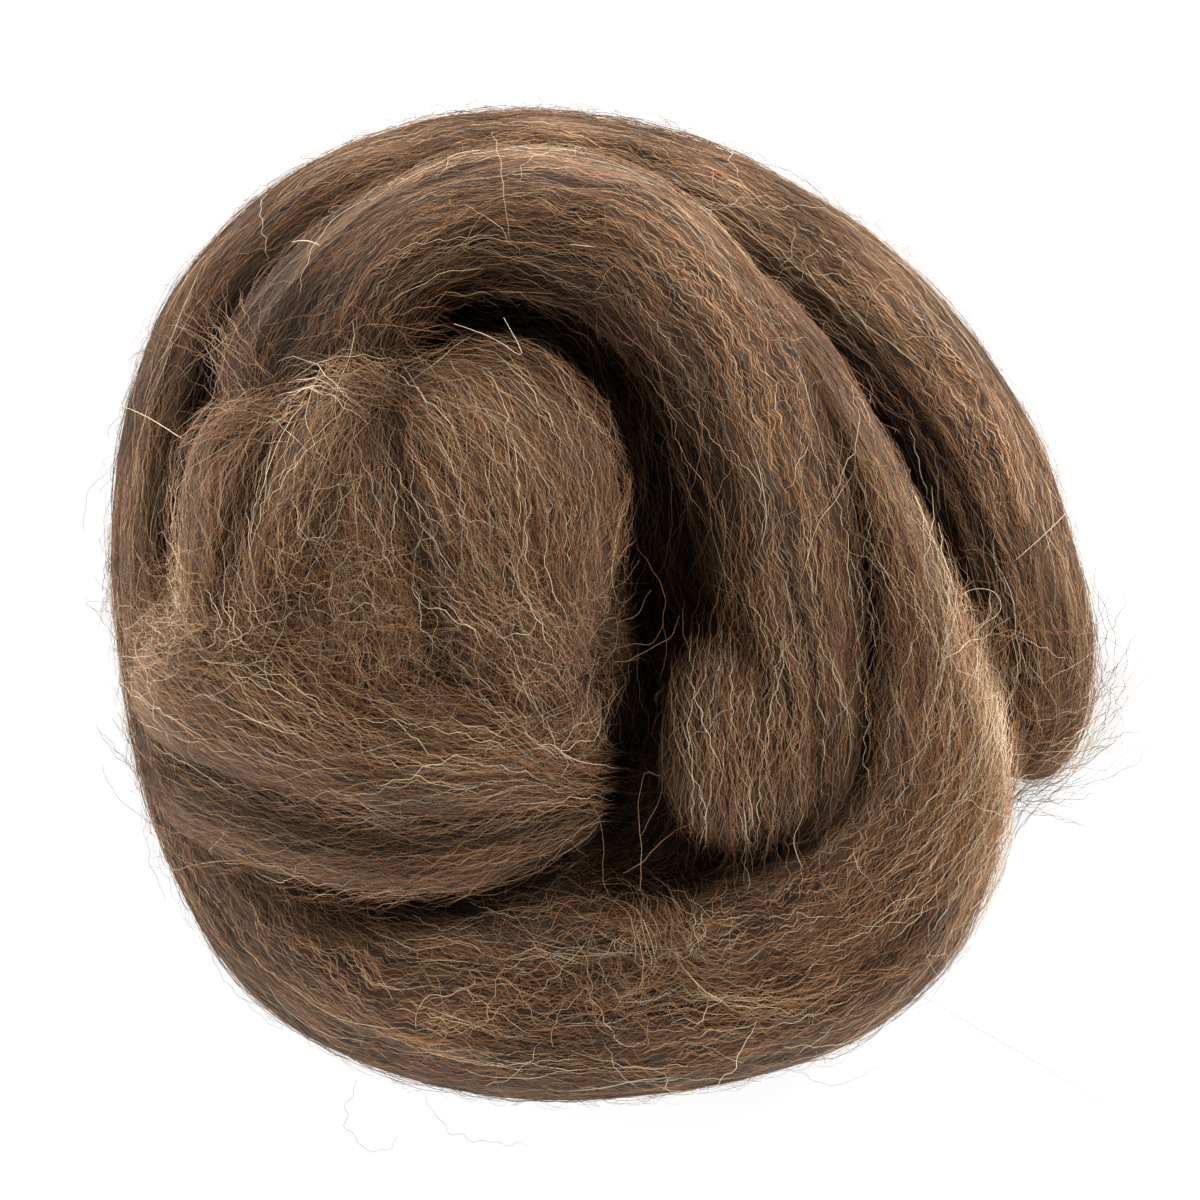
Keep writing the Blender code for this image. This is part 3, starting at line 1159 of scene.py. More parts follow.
@dataclass
class Nest:
    """All stretches together, for finding out what hides what."""

    stretches: list[Stretch]
    cell: float = 1.0
    reach: float = 100.0
    ring: int = 120
    look: tuple[float, ...] = (2.5, 5.0, 8.0, 12.0, 17.0)
    headings: int = 12
    stride: int = 3
    stride_reach: float = 4.0
    batch: int = 20_000
    # How open the usual wool lies, and how strongly painted light and shade act on the ground and
    # on the hairs.
    usual_openness: float = 0.62
    base_gain: float = 1.6
    hair_gain: float = 0.25
    top: Array = field(init=False, repr=False)
    smooth: Array = field(init=False, repr=False)

    def __post_init__(self) -> None:
        """Draws the height of the nest's top over a square grid."""
        side = int(2 * self.reach / self.cell)
        self.top = np.full((side, side), -1.0)
        angle = np.linspace(0, 2 * math.pi, self.ring, endpoint=False)
        for stretch in self.stretches:
            grid = np.meshgrid(stretch.run, angle, indexing="ij")
            points, _ = stretch.surface(grid[0], grid[1])
            i, j = self._cells(points.reshape(-1, 3))
            np.maximum.at(self.top, (i, j), points.reshape(-1, 3)[:, 2])
        self.smooth = self._eased(self.top)

    @staticmethod
    def _eased(top: Array) -> Array:
        """Bridges narrow creases: each cell takes the highest of its neighbours, then the mean of
        its neighbours, twice over.

        Args:
            top: Heights over the grid, in mm.

        Returns:
            The eased heights.
        """
        shifts = [(a, b) for a in (-1, 0, 1) for b in (-1, 0, 1)]
        raised = np.max([np.roll(top, shift, (0, 1)) for shift in shifts], axis=0)
        for _ in range(2):
            raised = np.mean([np.roll(raised, shift, (0, 1)) for shift in shifts], axis=0)
        return raised

    def drape(self, x: Array, y: Array) -> tuple[Array, Array]:
        """Height of the eased top, straight-line mixed between its cells, and its upward normal.

        Args:
            x: Places across, in mm.
            y: Places along, in mm.

        Returns:
            Heights in mm, and unit normals.
        """
        u = np.clip((x + self.reach) / self.cell - 0.5, 0, len(self.smooth) - 2.001)
        v = np.clip((y + self.reach) / self.cell - 0.5, 0, len(self.smooth) - 2.001)
        i, j = u.astype(int), v.astype(int)
        u, v = u - i, v - j
        a, b = self.smooth[i, j], self.smooth[i + 1, j]
        c, d = self.smooth[i, j + 1], self.smooth[i + 1, j + 1]
        height = a * (1 - u) * (1 - v) + b * u * (1 - v) + c * (1 - u) * v + d * u * v
        slope_x = ((b - a) * (1 - v) + (d - c) * v) / self.cell
        slope_y = ((c - a) * (1 - u) + (d - b) * u) / self.cell
        return height, unit(np.stack([-slope_x, -slope_y, np.ones_like(u)], -1))

    def openness(self, points: Array) -> Array:
        """How open each point lies: the mean over all headings of 1 - sin(the steepest angle up to
        the nest's top at the distances in look).

        Args:
            points: The points, in mm.

        Returns:
            1 for a point with nothing above its level around it, near 0 deep in a crease.
        """
        total = np.zeros(len(points))
        for heading in np.linspace(0, 2 * math.pi, self.headings, endpoint=False):
            steepest = np.zeros(len(points))
            for distance in self.look:
                offset = distance * np.array((math.cos(heading), math.sin(heading), 0.0))
                rise = self.height(points + offset) - points[:, 2]
                steepest = np.maximum(steepest, rise / np.hypot(rise, distance))
            total += 1 - steepest
        return total / self.headings

    def painted_shading_and_tone(self, points: Array) -> Array:
        """How much lighter or darker than usual the wool is painted: painted light where it lies
        open, as on the backs and rims, painted shade in the creases, and by the marks, each of
        which fades out as exp(-distance^2 / 2 reach^2).

        Args:
            points: The points, in mm.

        Returns:
            0 for the usual tone, about 0.5 where the most light is painted and -0.5 where the most
            shade is.
        """
        pale = self.openness(points) - self.usual_openness
        for x, y, reach, amount in PAINTED_SHADING_AND_TONE_MARKS:
            distance = np.hypot(points[:, 0] - x, points[:, 1] - y)
            pale += amount * np.exp(-(distance**2) / (2 * reach**2))
        return pale

    def _cells(self, points: Array) -> tuple[Array, Array]:
        """Grid cells that points lie over.

        Args:
            points: The points, in mm.

        Returns:
            The cells' places across and along.
        """
        places = ((points[:, :2] + self.reach) / self.cell).astype(int)
        places = np.clip(places, 0, len(self.top) - 1)
        return places[:, 0], places[:, 1]

    def height(self, points: Array) -> Array:
        """Height of the nest's top over points, in mm."""
        i, j = self._cells(points)
        return self.top[i, j]

    def seen_from_above(self, points: Array, slack: float = 2.0) -> Array:
        """Whether nothing lies over each point, give or take the slack in mm."""
        return points[:, 2] >= self.height(points) - slack

    def buried(self, points: Array, own: Stretch | None, depth: float = 0.96) -> Array:
        """Whether each point lies inside another stretch: its place in the nearest section, as
        shares of the half width and half height, is less than depth from the middle.

        Args:
            points: The points, in mm.
            own: The stretch that they lie on, which is left out.
            depth: Share of the section's half sizes that counts as inside.

        Returns:
            True for each buried point.
        """
        inside = np.zeros(len(points), bool)
        for other in self.stretches:
            if other is own:
                continue
            station = other.frame[:: self.stride]
            drawn = other.drawn_in(other.run[:: self.stride])
            batches = max(1, len(points) // self.batch)
            for part in np.array_split(np.arange(len(points)), batches):
                gap = points[part, None, :] - station[None, :, MIDDLE]
                near = np.argmin((gap**2).sum(-1), axis=1)
                offset = gap[np.arange(len(part)), near]
                at = station[near]
                half = np.maximum(at[:, WIDE:] * drawn[near, None], 0.1)
                along = (offset * at[:, AHEAD]).sum(-1)
                wide = (offset * at[:, ACROSS]).sum(-1) / half[:, 0]
                high = (offset * at[:, UPWARD]).sum(-1) / half[:, 1]
                level = np.abs(along) < self.stride_reach
                inside[part] |= (wide**2 + high**2 < depth**2) & level
        return inside


# --------------------------------------------------------------------------------------------
# Hairs
# --------------------------------------------------------------------------------------------


@dataclass
class Hairs:
    """Paths of many hairs with the same number of points, and what each one looks like."""

    paths: Array
    outward: Array
    radius: Array
    tone: Array

    def taken(self, keep: Array) -> "Hairs":
        """The hairs that keep picks."""
        return Hairs(self.paths[keep], self.outward[keep], self.radius[keep], self.tone[keep])

    @property
    def triangles(self) -> int:
        """Triangles of one hair."""
        return 6 * (self.paths.shape[1] - 1) + 2

    def tubes(self) -> tuple[Array, Array, Array, Array, Array]:
        """Closed three-sided tubes along the paths: the corners of each section stand at thirds of
        a turn around the path, and the radius swells as the sine from end to end.

        Returns:
            Points in metres, four-sided faces, three-sided faces, and both faces' material slots.
        """
        count, steps = self.paths.shape[:2]
        ahead = unit(np.gradient(self.paths, axis=1))
        side = unit(np.cross(ahead, self.outward))
        rise = np.cross(side, ahead)
        swell = np.sin(math.pi * np.linspace(0.02, 0.98, steps)) ** 0.4
        swell = TIP + (1 - TIP) * swell
        radius = self.radius[:, None] * swell
        corner = np.arange(3) * 2 * math.pi / 3
        spread = rise[:, :, None] * np.cos(corner)[:, None]
        spread = spread + side[:, :, None] * np.sin(corner)[:, None]
        points = self.paths[:, :, None] + spread * radius[:, :, None, None]
        points = to_metres(points.reshape(-1, 3), HAIR_CLEARANCE)
        base = np.arange(count)[:, None, None] * steps * 3
        m, k = np.meshgrid(np.arange(steps - 1), np.arange(3), indexing="ij")
        n = (k + 1) % 3
        face = np.stack([m * 3 + k, m * 3 + n, (m + 1) * 3 + n, (m + 1) * 3 + k], -1).reshape(-1, 4)
        last = (steps - 1) * 3
        ends = np.array([[0, 2, 1], [last, last + 1, last + 2]])
        quads, triangles = (base + face).reshape(-1, 4), (base + ends).reshape(-1, 3)
        return points, quads, triangles, np.repeat(self.tone, len(face)), np.repeat(self.tone, 2)


def add_hairs(name: str, groups: list[Hairs], materials: list[bpy.types.Material]) -> None:
    """Makes pieces of hairs, each small enough to be kept whole.

    Args:
        name: Name of the pieces, which get a number if there are several.
        groups: The hairs, each group with its own number of points.
        materials: One for each tone.
    """
    total = sum(len(g.paths) * g.triangles for g in groups)
    parts = math.ceil(total / PIECE_TRIANGLES)
    for part in range(parts):
        shares = [g.taken(np.arange(part, len(g.paths), parts)) for g in groups]
        tubes = [g.tubes() for g in shares if len(g.paths)]
        offsets = np.concatenate([[0], np.cumsum([len(t[0]) for t in tubes])[:-1]])
        points = np.concatenate([t[0] for t in tubes])
        quads = np.concatenate([t[1] + o for t, o in zip(tubes, offsets)])
        triangles = np.concatenate([t[2] + o for t, o in zip(tubes, offsets)])
        slots = np.concatenate([t[3] for t in tubes] + [t[4] for t in tubes])
        whole = name if parts == 1 else f"{name}_{part + 1}"
        mesh = make_mesh(whole, points, quads, triangles, slots)
        for material in materials:
            mesh.materials.append(material)
        add_piece(whole, mesh)


@dataclass(frozen=True)
class Combing:
    """How a layer of hairs lies on a stretch. Lengths in mm, angles in radians."""

    share: float
    points: int = 17
    step: float = 1.6
    radius: float = 0.066
    spread: float = 0.09
    wander: float = 0.20
    wander_length: tuple[float, float] = (14.0, 45.0)
    crimp: float = 0.42
    crimp_length: tuple[float, float] = (3.2, 6.5)
    rest: float = 0.0
    lift: float = 0.35
    depth: float = 0.4
    sway: float = 0.12
    dive: float = 0.2
    streaks: float = 0.25
    fly: float = 0.0
    lock: int = 7
    lock_width: float = 0.9
    lock_length: float = 7.0
    lock_turn: float = 0.6
    loose_share: float = 0.3
    jitter: float = 1.5
    top_weight: float = 1.0
    side_weight: float = 0.35
    under_weight: float = 0.12
    rim: float | None = None
    blend: Blend | None = None
    seed: int = 1


def lay_hairs(nest: Nest, stretch: Stretch, combing: Combing, count: int) -> Hairs:
    """Lays hairs on a stretch: each starts at a random place that shows and follows the strand by
    a heading that is the lean plus the hair's own spread, a slow wave and the crimp.

    Args:
        nest: All the stretches.
        stretch: The one that the hairs lie on.
        combing: How they lie.
        count: How many.

    Returns:
        The hairs, in the tables' mm.
    """
    rng = np.random.default_rng(1000 * stretch.seed + combing.seed)
    weights, cells = exposure(nest, stretch, combing)
    locks = max(1, count // combing.lock)
    picked = rng.choice(len(weights), locks, p=weights / weights.sum())
    middle_s, middle_angle = cells[picked, 0], cells[picked, 1]
    group = rng.integers(0, locks, count)
    loose = rng.random(count) < combing.loose_share
    own = rng.choice(len(weights), count, p=weights / weights.sum())
    in_lock = middle_s[group] + rng.normal(0, combing.lock_length, count)
    start_s = np.where(loose, cells[own, 0], in_lock)
    start_angle = np.where(loose, cells[own, 1], middle_angle[group])
    start_s = start_s + rng.uniform(-combing.jitter, combing.jitter, count)

    run = np.arange(combing.points) * combing.step
    along = start_s / stretch.length
    lean = stretch.lean[0] + (stretch.lean[1] - stretch.lean[0]) * np.clip(along, 0, 1)
    lock_turn = rng.normal(0, combing.spread * combing.lock_turn, locks)[group]
    heading = lean + lock_turn + rng.normal(0, combing.spread, count)
    heading = heading[:, None] + combing.wander * waves(rng, count, run, combing.wander_length)
    heading = heading + combing.crimp * waves(rng, count, run, combing.crimp_length)
    ahead = np.cumsum(np.cos(heading) * combing.step, axis=1)
    aside = np.cumsum(np.sin(heading) * combing.step, axis=1)
    half = combing.points // 2
    ahead -= ahead[:, half : half + 1]
    aside -= aside[:, half : half + 1]
    anywhere = rng.uniform(-combing.jitter, combing.jitter, count)
    aside += np.where(loose, anywhere, rng.normal(0, combing.lock_width, count))[:, None]
    s = start_s[:, None] + ahead
    s += np.maximum(0, END_MARGIN - s.min(axis=1, keepdims=True))
    s -= np.maximum(0, s.max(axis=1, keepdims=True) - (stretch.length - END_MARGIN))
    radius = stretch.lever(start_s, start_angle)
    angle = start_angle[:, None] - aside / np.maximum(radius, LEAST_LEVER)[:, None]
    rise = combing.rest + combing.lift * rare_heights(rng, count)
    rise = rise - combing.depth * rng.random(count)
    dive = stretch.sunk + combing.dive
    lift = -dive + (rise + dive)[:, None] * bowed(combing.points)
    lift = lift + combing.sway * waves(rng, count, run, HEIGHT_WAVES)
    lift = lift + FOLLOWED * stretch.relief(s, angle) - BEDDED
    if combing.fly:
        loose_end = np.linspace(0.0, 1.0, combing.points) ** 1.4
        lift = lift + combing.fly * rare_heights(rng, count)[:, None] * loose_end
    paths, outward = stretch.surface(s, angle, lift)
    width = combing.radius * rng.uniform(*THICKNESS_RANGE, count)
    streak = stretch.streaks(s[:, half], angle[:, half])
    # Hairs take painted light and shade too: lighter where the strand lies open, darker in creases.
    pale = nest.hair_gain * nest.painted_shading_and_tone(paths[:, half])
    tone = (combing.blend or stretch.blend).draw(rng, count, combing.streaks * streak + pale)
    return Hairs(paths, outward, width, tone)


def exposure(nest: Nest, stretch: Stretch, combing: Combing) -> tuple[Array, Array]:
    """How much each small patch of a stretch shows: its area, times one if it is seen from above,
    less on the sides and the underside, and nothing inside another stretch. A layer for the rim
    falls off as exp(-(slope / rim)^2) away from upright faces.

    Args:
        nest: All the stretches.
        stretch: The one to look at.
        combing: Gives the weights of sides and underside.

    Returns:
        The weights, and each patch's place along and angle.
    """
    s = np.arange(END_MARGIN, stretch.length - 1, PATCH_LENGTH)
    angle = np.linspace(-math.pi, math.pi, PATCHES_ROUND, endpoint=False)
    grid = np.stack(np.meshgrid(s, angle, indexing="ij"), -1).reshape(-1, 2)
    points, outward = stretch.surface(grid[:, 0], grid[:, 1])
    area = stretch.lever(*grid.T) * (END_SHARE + (1 - END_SHARE) * stretch.drawn_in(grid[:, 0]))
    near, out = points + outward * TOUCHING, points + outward * CROWDED
    seen = nest.seen_from_above(near) & (outward[:, 2] > SIDE_SLOPE)
    weight = np.where(seen, combing.top_weight, combing.side_weight)
    weight = np.where(outward[:, 2] < UNDER_SLOPE, combing.under_weight, weight)
    weight = np.where(nest.buried(near, stretch), 0.0, weight)
    weight = np.where(nest.buried(out, stretch, 1.0), CROWDED_SHARE * weight, weight)
    weight = np.where(points[:, 2] < SHIFT[2] + NEAR_TABLE, 0.0, weight)
    if combing.rim is not None:
        weight = weight * np.exp(-((outward[:, 2] / combing.rim) ** 2))
    return weight * area + 1e-9, grid


# --------------------------------------------------------------------------------------------
# Sub-assemblies
# --------------------------------------------------------------------------------------------


@dataclass
class Strand:
    """The whole strand: the outer and inner coils, the tucked bend, the folds of the ball and the
    turns that they lie on."""

    stretches: list[Stretch] = field(
        default_factory=lambda: [
            Stretch("outer_coil", OUTER_COIL, seed=1, sunk=0.6, along_step=3.2, around_step=1.0),
            Stretch("inner_coil", INNER_COIL, seed=2, sunk=0.6),
            Stretch("tucked_bend", TUCKED_BEND, seed=3, lump=1.2, ridge=0.8),
            Stretch("left_fold", LEFT_FOLD, blend=Blend.BALL, seed=4, hair_share=0.4),
            Stretch("middle_fold", MIDDLE_FOLD, blend=Blend.BALL, seed=5, hair_share=0.3),
            Stretch("ridge_fold", RIDGE_FOLD, blend=Blend.BALL, seed=14, hair_share=0.4),
            Stretch(
                "right_fold", RIGHT_FOLD, blend=Blend.BALL, seed=6, lean=(0.7, 0.15),
                hair_share=0.4,
            ),
            Stretch("fan_fold", FAN_FOLD, blend=Blend.BALL, seed=12, hair_share=0.6),
            Stretch(
                "front_fold", FRONT_FOLD, blend=Blend.BALL, seed=7, lean=(-0.8, 0.35),
                hair_share=0.4,
            ),
            Stretch(
                "low_fold", LOW_FOLD, blend=Blend.BALL, seed=8, lean=(-0.15, 0.15), hair_share=0.6,
            ),
            # The turns and the core lie deep in the nest and take the darkest blend: painted shade.
            Stretch(
                "bedding_turn", BEDDING_TURN, blend=Blend.PAINTED_SHADE, seed=13, along_step=4,
                around_step=2, hair_share=0.5,
            ),
            Stretch(
                "lower_turn", LOWER_TURN, blend=Blend.PAINTED_SHADE, seed=9, along_step=4, around_step=2,
                hair_share=0.4,
            ),
            Stretch(
                "floor_turn", FLOOR_TURN, blend=Blend.PAINTED_SHADE, seed=10, along_step=4, around_step=2,
                hair_share=0.4,
            ),
            Stretch(
                "ball_core", BALL_CORE, blend=Blend.PAINTED_SHADE, seed=11, along_step=4, around_step=2,
                hair_share=0.3,
            ),
            Stretch(
                "underlay", UNDERLAY, lump=0.3, ridge=0.4, seed=15, along_step=4, around_step=2,
                hair_share=0.02,
            ),
        ]
    )

    def build(self) -> Nest:
        """Makes every stretch.

        Returns:
            The nest that they form, for laying hairs on it.
        """
        packed = PACKED_WOOL.material()
        nest = Nest(self.stretches)
        for stretch in self.stretches:
            stretch.build(nest, packed)
        return nest


@dataclass
class CombedHairs:
    """The layers of hairs that lie along the strand: a flat bed, crimped hairs and wayward ones."""

    total: int = 4200
    layers: tuple[Combing, ...] = (
        Combing(
            share=0.50, points=11, step=2.3, radius=0.042, spread=0.10, wander=0.28, crimp=0.25,
            crimp_length=(6.0, 11.0), rest=0.1, lift=0.2, depth=0.8, seed=11,
        ),
        Combing(
            share=0.34, points=17, step=1.15, radius=0.040, spread=0.20, wander=0.35, crimp=0.5,
            crimp_length=(2.8, 5.5), rest=0.15, lift=0.35, lock=4, seed=12,
        ),
        Combing(
            share=0.16, points=15, step=1.2, radius=0.036, spread=0.6, wander=0.6, crimp=0.65,
            crimp_length=(2.8, 5.5), rest=0.2, lift=0.55, lock=2, seed=13,
        ),
    )

    def build(self, nest: Nest, materials: list[bpy.types.Material]) -> None:
        """Shares the hairs out by how much of each stretch shows, and makes a piece of each share.

        Args:
            nest: The stretches.
            materials: One for each tone.
        """
        first = self.layers[0]
        shown = [s.hair_share * exposure(nest, s, first)[0].sum() for s in nest.stretches]
        shown = np.array(shown)
        for stretch, share in zip(nest.stretches, shown / shown.sum()):
            groups = [
                lay_hairs(nest, stretch, layer, max(4, round(self.total * share * layer.share)))
                for layer in self.layers
            ]
            add_hairs(f"{stretch.name}_hairs", groups, materials)


@dataclass
class Fuzz:
    """Short hairs that stand off the nest: all round, or in a fringe along the rims that show."""

    name: str = "fuzz"
    total: int = 1600
    lie: Combing = Combing(
        share=1.0, points=9, step=1.2, radius=0.034, spread=0.9, wander=0.7,
        wander_length=(8.0, 20.0), crimp=0.7, lift=0.3, fly=1.0, lock=1, top_weight=0.45,
        side_weight=1.0, under_weight=0.5, blend=Blend.FUZZ, seed=21,
    )

    def build(self, nest: Nest, materials: list[bpy.types.Material]) -> None:
        """Makes the fuzz as one piece.

        Args:
            nest: The stretches.
            materials: One for each tone.
        """
        shown = np.array([exposure(nest, s, self.lie)[0].sum() for s in nest.stretches])
        counts = np.maximum(1, np.round(self.total * shown / shown.sum())).astype(int)
        groups = [lay_hairs(nest, s, self.lie, n) for s, n in zip(nest.stretches, counts)]
        add_hairs(self.name, groups, materials)


FRINGE = Fuzz(
    "fringe",
    1500,
    Combing(
        share=1.0, points=7, step=0.95, radius=0.026, spread=1.1, wander=0.8,
        wander_length=(6.0, 14.0), crimp=0.7, crimp_length=(2.6, 5.0), rest=0.3, lift=0.4, fly=0.9,
        lock=1, top_weight=1.0, side_weight=0.0, under_weight=0.0, rim=0.25, blend=Blend.FUZZ,
        seed=22,
    ),
)


@dataclass(frozen=True)
class Drift:
    """How hairs drift over the top of the nest along a field of marked headings. Each mark is a
    place in mm, a heading in degrees and a share of the hairs."""

    name: str
    marks: Table
    count: int
    scatter: float = 5.0
    blur: float = 7.0
    spread: float = 0.25
    wander: float = 0.35
    wander_length: tuple[float, float] = (12.0, 40.0)
    crimp: float = 0.5
    crimp_length: tuple[float, float] = (3.0, 6.0)
    points: int = 15
    step: float = 1.4
    radius: float = 0.040
    rest: float = 0.25
    lift: float = 0.45
    dive: float = 0.6
    sway: float = 0.15
    level: float = 5.0
    blend: Blend = Blend.BALL
    seed: int = 1

    def hairs(self, nest: Nest) -> Hairs:
        """Follows the field step by step from random places near the marks. The heading at a place
        is the mean of the marks' headings, each weighed by exp(-distance^2 / 2 blur^2).

        Args:
            nest: What the hairs lie on.

        Returns:
            The hairs, in the tables' mm.
        """
        rng = np.random.default_rng(self.seed)
        marks = np.array(self.marks, float)
        near = rng.choice(len(marks), self.count, p=marks[:, 3] / marks[:, 3].sum())
        place = marks[near, :2] + rng.normal(0, self.scatter, (self.count, 2))
        run = np.arange(self.points) * self.step
        turn = rng.normal(0, self.spread, self.count)[:, None]
        turn = turn + self.wander * waves(rng, self.count, run, self.wander_length)
        turn = turn + self.crimp * waves(rng, self.count, run, self.crimp_length)
        radians = np.radians(marks[:, 2])
        steps = [place]
        for m in range(self.points - 1):
            apart = ((place[:, None] - marks[None, :, :2]) ** 2).sum(-1)
            weight = np.exp(-apart / (2 * self.blur**2)) + 1e-9
            heading = np.arctan2(weight @ np.sin(radians), weight @ np.cos(radians)) + turn[:, m]
            place = place + self.step * np.stack([np.cos(heading), np.sin(heading)], -1)
            steps.append(place)
        flat = np.stack(steps, axis=1)
        flat -= 0.5 * (flat[:, -1:] - flat[:, :1])
        height, outward = nest.drape(flat[..., 0], flat[..., 1])
        height = np.maximum(height, self.level)
        rise = self.rest + self.lift * rare_heights(rng, self.count)
        lift = -self.dive + (rise + self.dive)[:, None] * bowed(self.points)
        lift = lift + self.sway * waves(rng, self.count, run, HEIGHT_WAVES)
        paths = np.concatenate([flat, (height + lift)[..., None]], axis=-1)
        # Hairs take painted light and shade too: lighter where the nest lies open, darker in
        # creases.
        pale = nest.hair_gain * nest.painted_shading_and_tone(paths[:, self.points // 2])
        tone = self.blend.draw(rng, self.count, pale)
        width = self.radius * rng.uniform(*THICKNESS_RANGE, self.count)
        return Hairs(paths, outward, width, tone)


# Columns of every table of marks: x and y in mm, heading in degrees, share of the hairs.
BALL_FLOW: Table = (
    # left fold
    (-49, 27, 176, 0.8),
    (-58, 25.5, 205, 0.8),
    (-65, 20, 245, 0.8),
    (-66, 10, 274, 0.9),
    (-62, 2, 268, 0.9),
    (-61, -5, 272, 0.7),
    (-57, 15, 262, 0.9),
    (-55.5, 5, 266, 0.8),
    (-52, 20, 235, 0.7),
    # ridge from the apex down to the left, and the valley beside it
    (-41, 31, 235, 0.8),
    (-44.5, 25, 240, 1.0),
    (-48, 16, 250, 1.1),
    (-50, 6, 254, 1.1),
    (-54, -3, 248, 0.8),
    (-38.5, 20, 262, 0.6),
    (-38, 10, 272, 0.7),
    (-38, 2, 282, 0.7),
    # second ridge and right fold
    (-36, 31, -48, 1.0),
    (-31, 23, -68, 1.2),
    (-29, 13, -80, 1.2),
    (-28, 4, -78, 1.0),
    (-28, 29, -36, 1.0),
    (-22, 27, -40, 1.1),
    (-20.5, 18, -60, 1.2),
    (-20.5, 8, -72, 1.2),
    (-14, 22, -42, 1.3),
    (-12, 12, -62, 1.3),
    (-12.5, 3, -70, 1.1),
    (-6, 24, -42, 1.2),
    (-4, 14, -62, 1.2),
    (-4, 5, -80, 1.1),
    (1, 20, -62, 1.0),
    (2, 12, -88, 1.0),
    (-1, 1, -112, 0.8),
    # hairs over the back of the right fold
    (-24, 36, 14, 1.0),
    (-16, 37, -2, 1.1),
    (-9, 34, -26, 1.1),
    (-2, 29, -50, 1.1),
    (2, 23, -72, 0.9),
    # front fold
    (-69, -9, -20, 0.8),
    (-63, -13, -32, 1.0),
    (-57, -19, -40, 1.2),
    (-49, -14, -35, 1.2),
    (-47, -23, -36, 1.2),
    (-38, -19, -32, 1.2),
    (-38, -28, -24, 1.2),
    (-28, -17, -30, 1.2),
    (-28, -28, -12, 1.2),
    (-18, -18, -26, 1.2),
    (-18, -28, -3, 1.2),
    (-12, -11, -34, 1.2),
    (-9, -26, 12, 1.1),
    (-7, -16, -38, 1.2),
    (-1, -17, -78, 1.0),
    (-2, -25, -112, 0.8),
    # low fold
    (-69, -24, -58, 0.8),
    (-62, -33, -38, 1.0),
    (-52, -38, -22, 1.1),
    (-42, -42, -12, 1.1),
    (-42, -35, -14, 1.0),
    (-31, -44, -2, 1.1),
    (-28, -36, 0, 1.0),
    (-19, -42, 12, 1.1),
    (-15, -35, 12, 1.0),
    (-8, -38, 26, 0.9),
    (-3, -33, 40, 0.6),
)
# Where the folds' hairs meet the front fold's and lie in all directions.
TANGLE_FLOW: Table = (
    (-62, -4, -8, 1.2),
    (-55, -4, 3, 1.0),
    (-47, -1, 8, 1.2),
    (-40, 3, 6, 1.2),
    (-34, 1, -28, 1.2),
    (-28, -4, -28, 1.0),
    (-20, -5, 0, 1.2),
    (-12, -4, 14, 1.2),
    (-5, -2, 25, 1.0),
    (-37, 14, -80, 1.0),
    (-38, 6, -70, 1.0),
    (-22, 9, -60, 0.6),
    (-14, 4, -40, 0.6),
    (-30, -12, -20, 0.8),
    (-14, -11, -20, 1.0),
    (-8, -20, 30, 0.8),
    (-50, -8, -20, 0.8),
)
TUFT_FLOW: Table = (
    (-71, -1, 40, 1.0),
    (-67, -4, 10, 1.2),
    (-69, 3, 75, 0.7),
    (-63, -6, 0, 0.8),
)
TUFT_TAIL: Table = (
    (-66, -8, 6, 1.0),
    (-58, -8, 0, 1.0),
    (-50, -7, 4, 0.7),
)
FOLD_TOPS: Table = (
    (-52, 29, 174, 1.0),
    (-58, 27.5, 198, 1.0),
    (-43, 31, 58, 0.8),
    (-39.5, 34, 18, 1.0),
    (-35, 33.5, -25, 1.0),
)
FLARED_ENDS: Table = (
    (-60, 41, 118, 1.0),
    (-63, 36, 100, 0.8),
)
BEND_FLOW: Table = (
    (21, -6, -104, 0.8),
    (15, -13, -112, 1.0),
    (12.5, -21, -92, 1.0),
    (15, -30, -78, 1.0),
    (22, -16, -93, 1.1),
    (22, -26, -90, 1.2),
    (22, -35, -88, 1.0),
    (30, -13, -80, 1.0),
    (31.5, -23, -86, 1.0),
    (29, -32, -98, 1.0),
)
SWIRL: Table = (
    (6, -50, -10, 1.0),
    (12, -55, -85, 1.0),
    (6, -61, 185, 1.0),
    (-1, -55, 95, 1.0),
    (-12, -60, 175, 0.8),
    (-20, -66, 178, 0.6),
    (14, -70, 5, 0.6),
)
SWIRL_EDGE: Table = (
    (15.5, -52, -68, 0.8),
    (18, -58, -66, 1.0),
    (20, -62, -40, 1.0),
    (26, -64, -4, 1.2),
    (34, -64, 4, 1.0),
    (42, -62, 20, 0.8),
)
FRAYED_END: Table = (
    (77.5, -6, -86, 0.8),
    (78.5, -15, -98, 1.0),
    (75.5, -24, -128, 1.2),
    (69, -31, -158, 1.2),
)
LIGHT_RIM: Table = (
    (61.5, -12, -86, 1.0),
    (63, -20, -92, 1.0),
    (63.5, -29, -96, 1.0),
    (62.5, -38, -104, 1.0),
    (59, -47, -118, 0.8),
)
CREASE_WISPS: Table = (
    (59.5, -3, -65, 1.0),
    (61.5, -9, -80, 1.2),
)
CREASE_HAIRS: Table = (
    (38, 24, -66, 0.8),
    (41.5, 14, -72, 1.0),
    (44.5, 3, -80, 1.0),
    (45.5, -8, -86, 1.0),
    (44.5, -19, -94, 0.8),
)
# The ridge's crest: rusty hairs that are partly the wool's rust and partly a painted highlight.
RUST_AND_HIGHLIGHT_CREST: Table = (
    (50, 4, -76, 0.8),
    (53, -6, -82, 1.0),
    (55.5, -16, -90, 1.0),
    (56, -26, -96, 1.0),
    (52.5, -37, -118, 1.0),
    (44.5, -46, -140, 1.0),
)


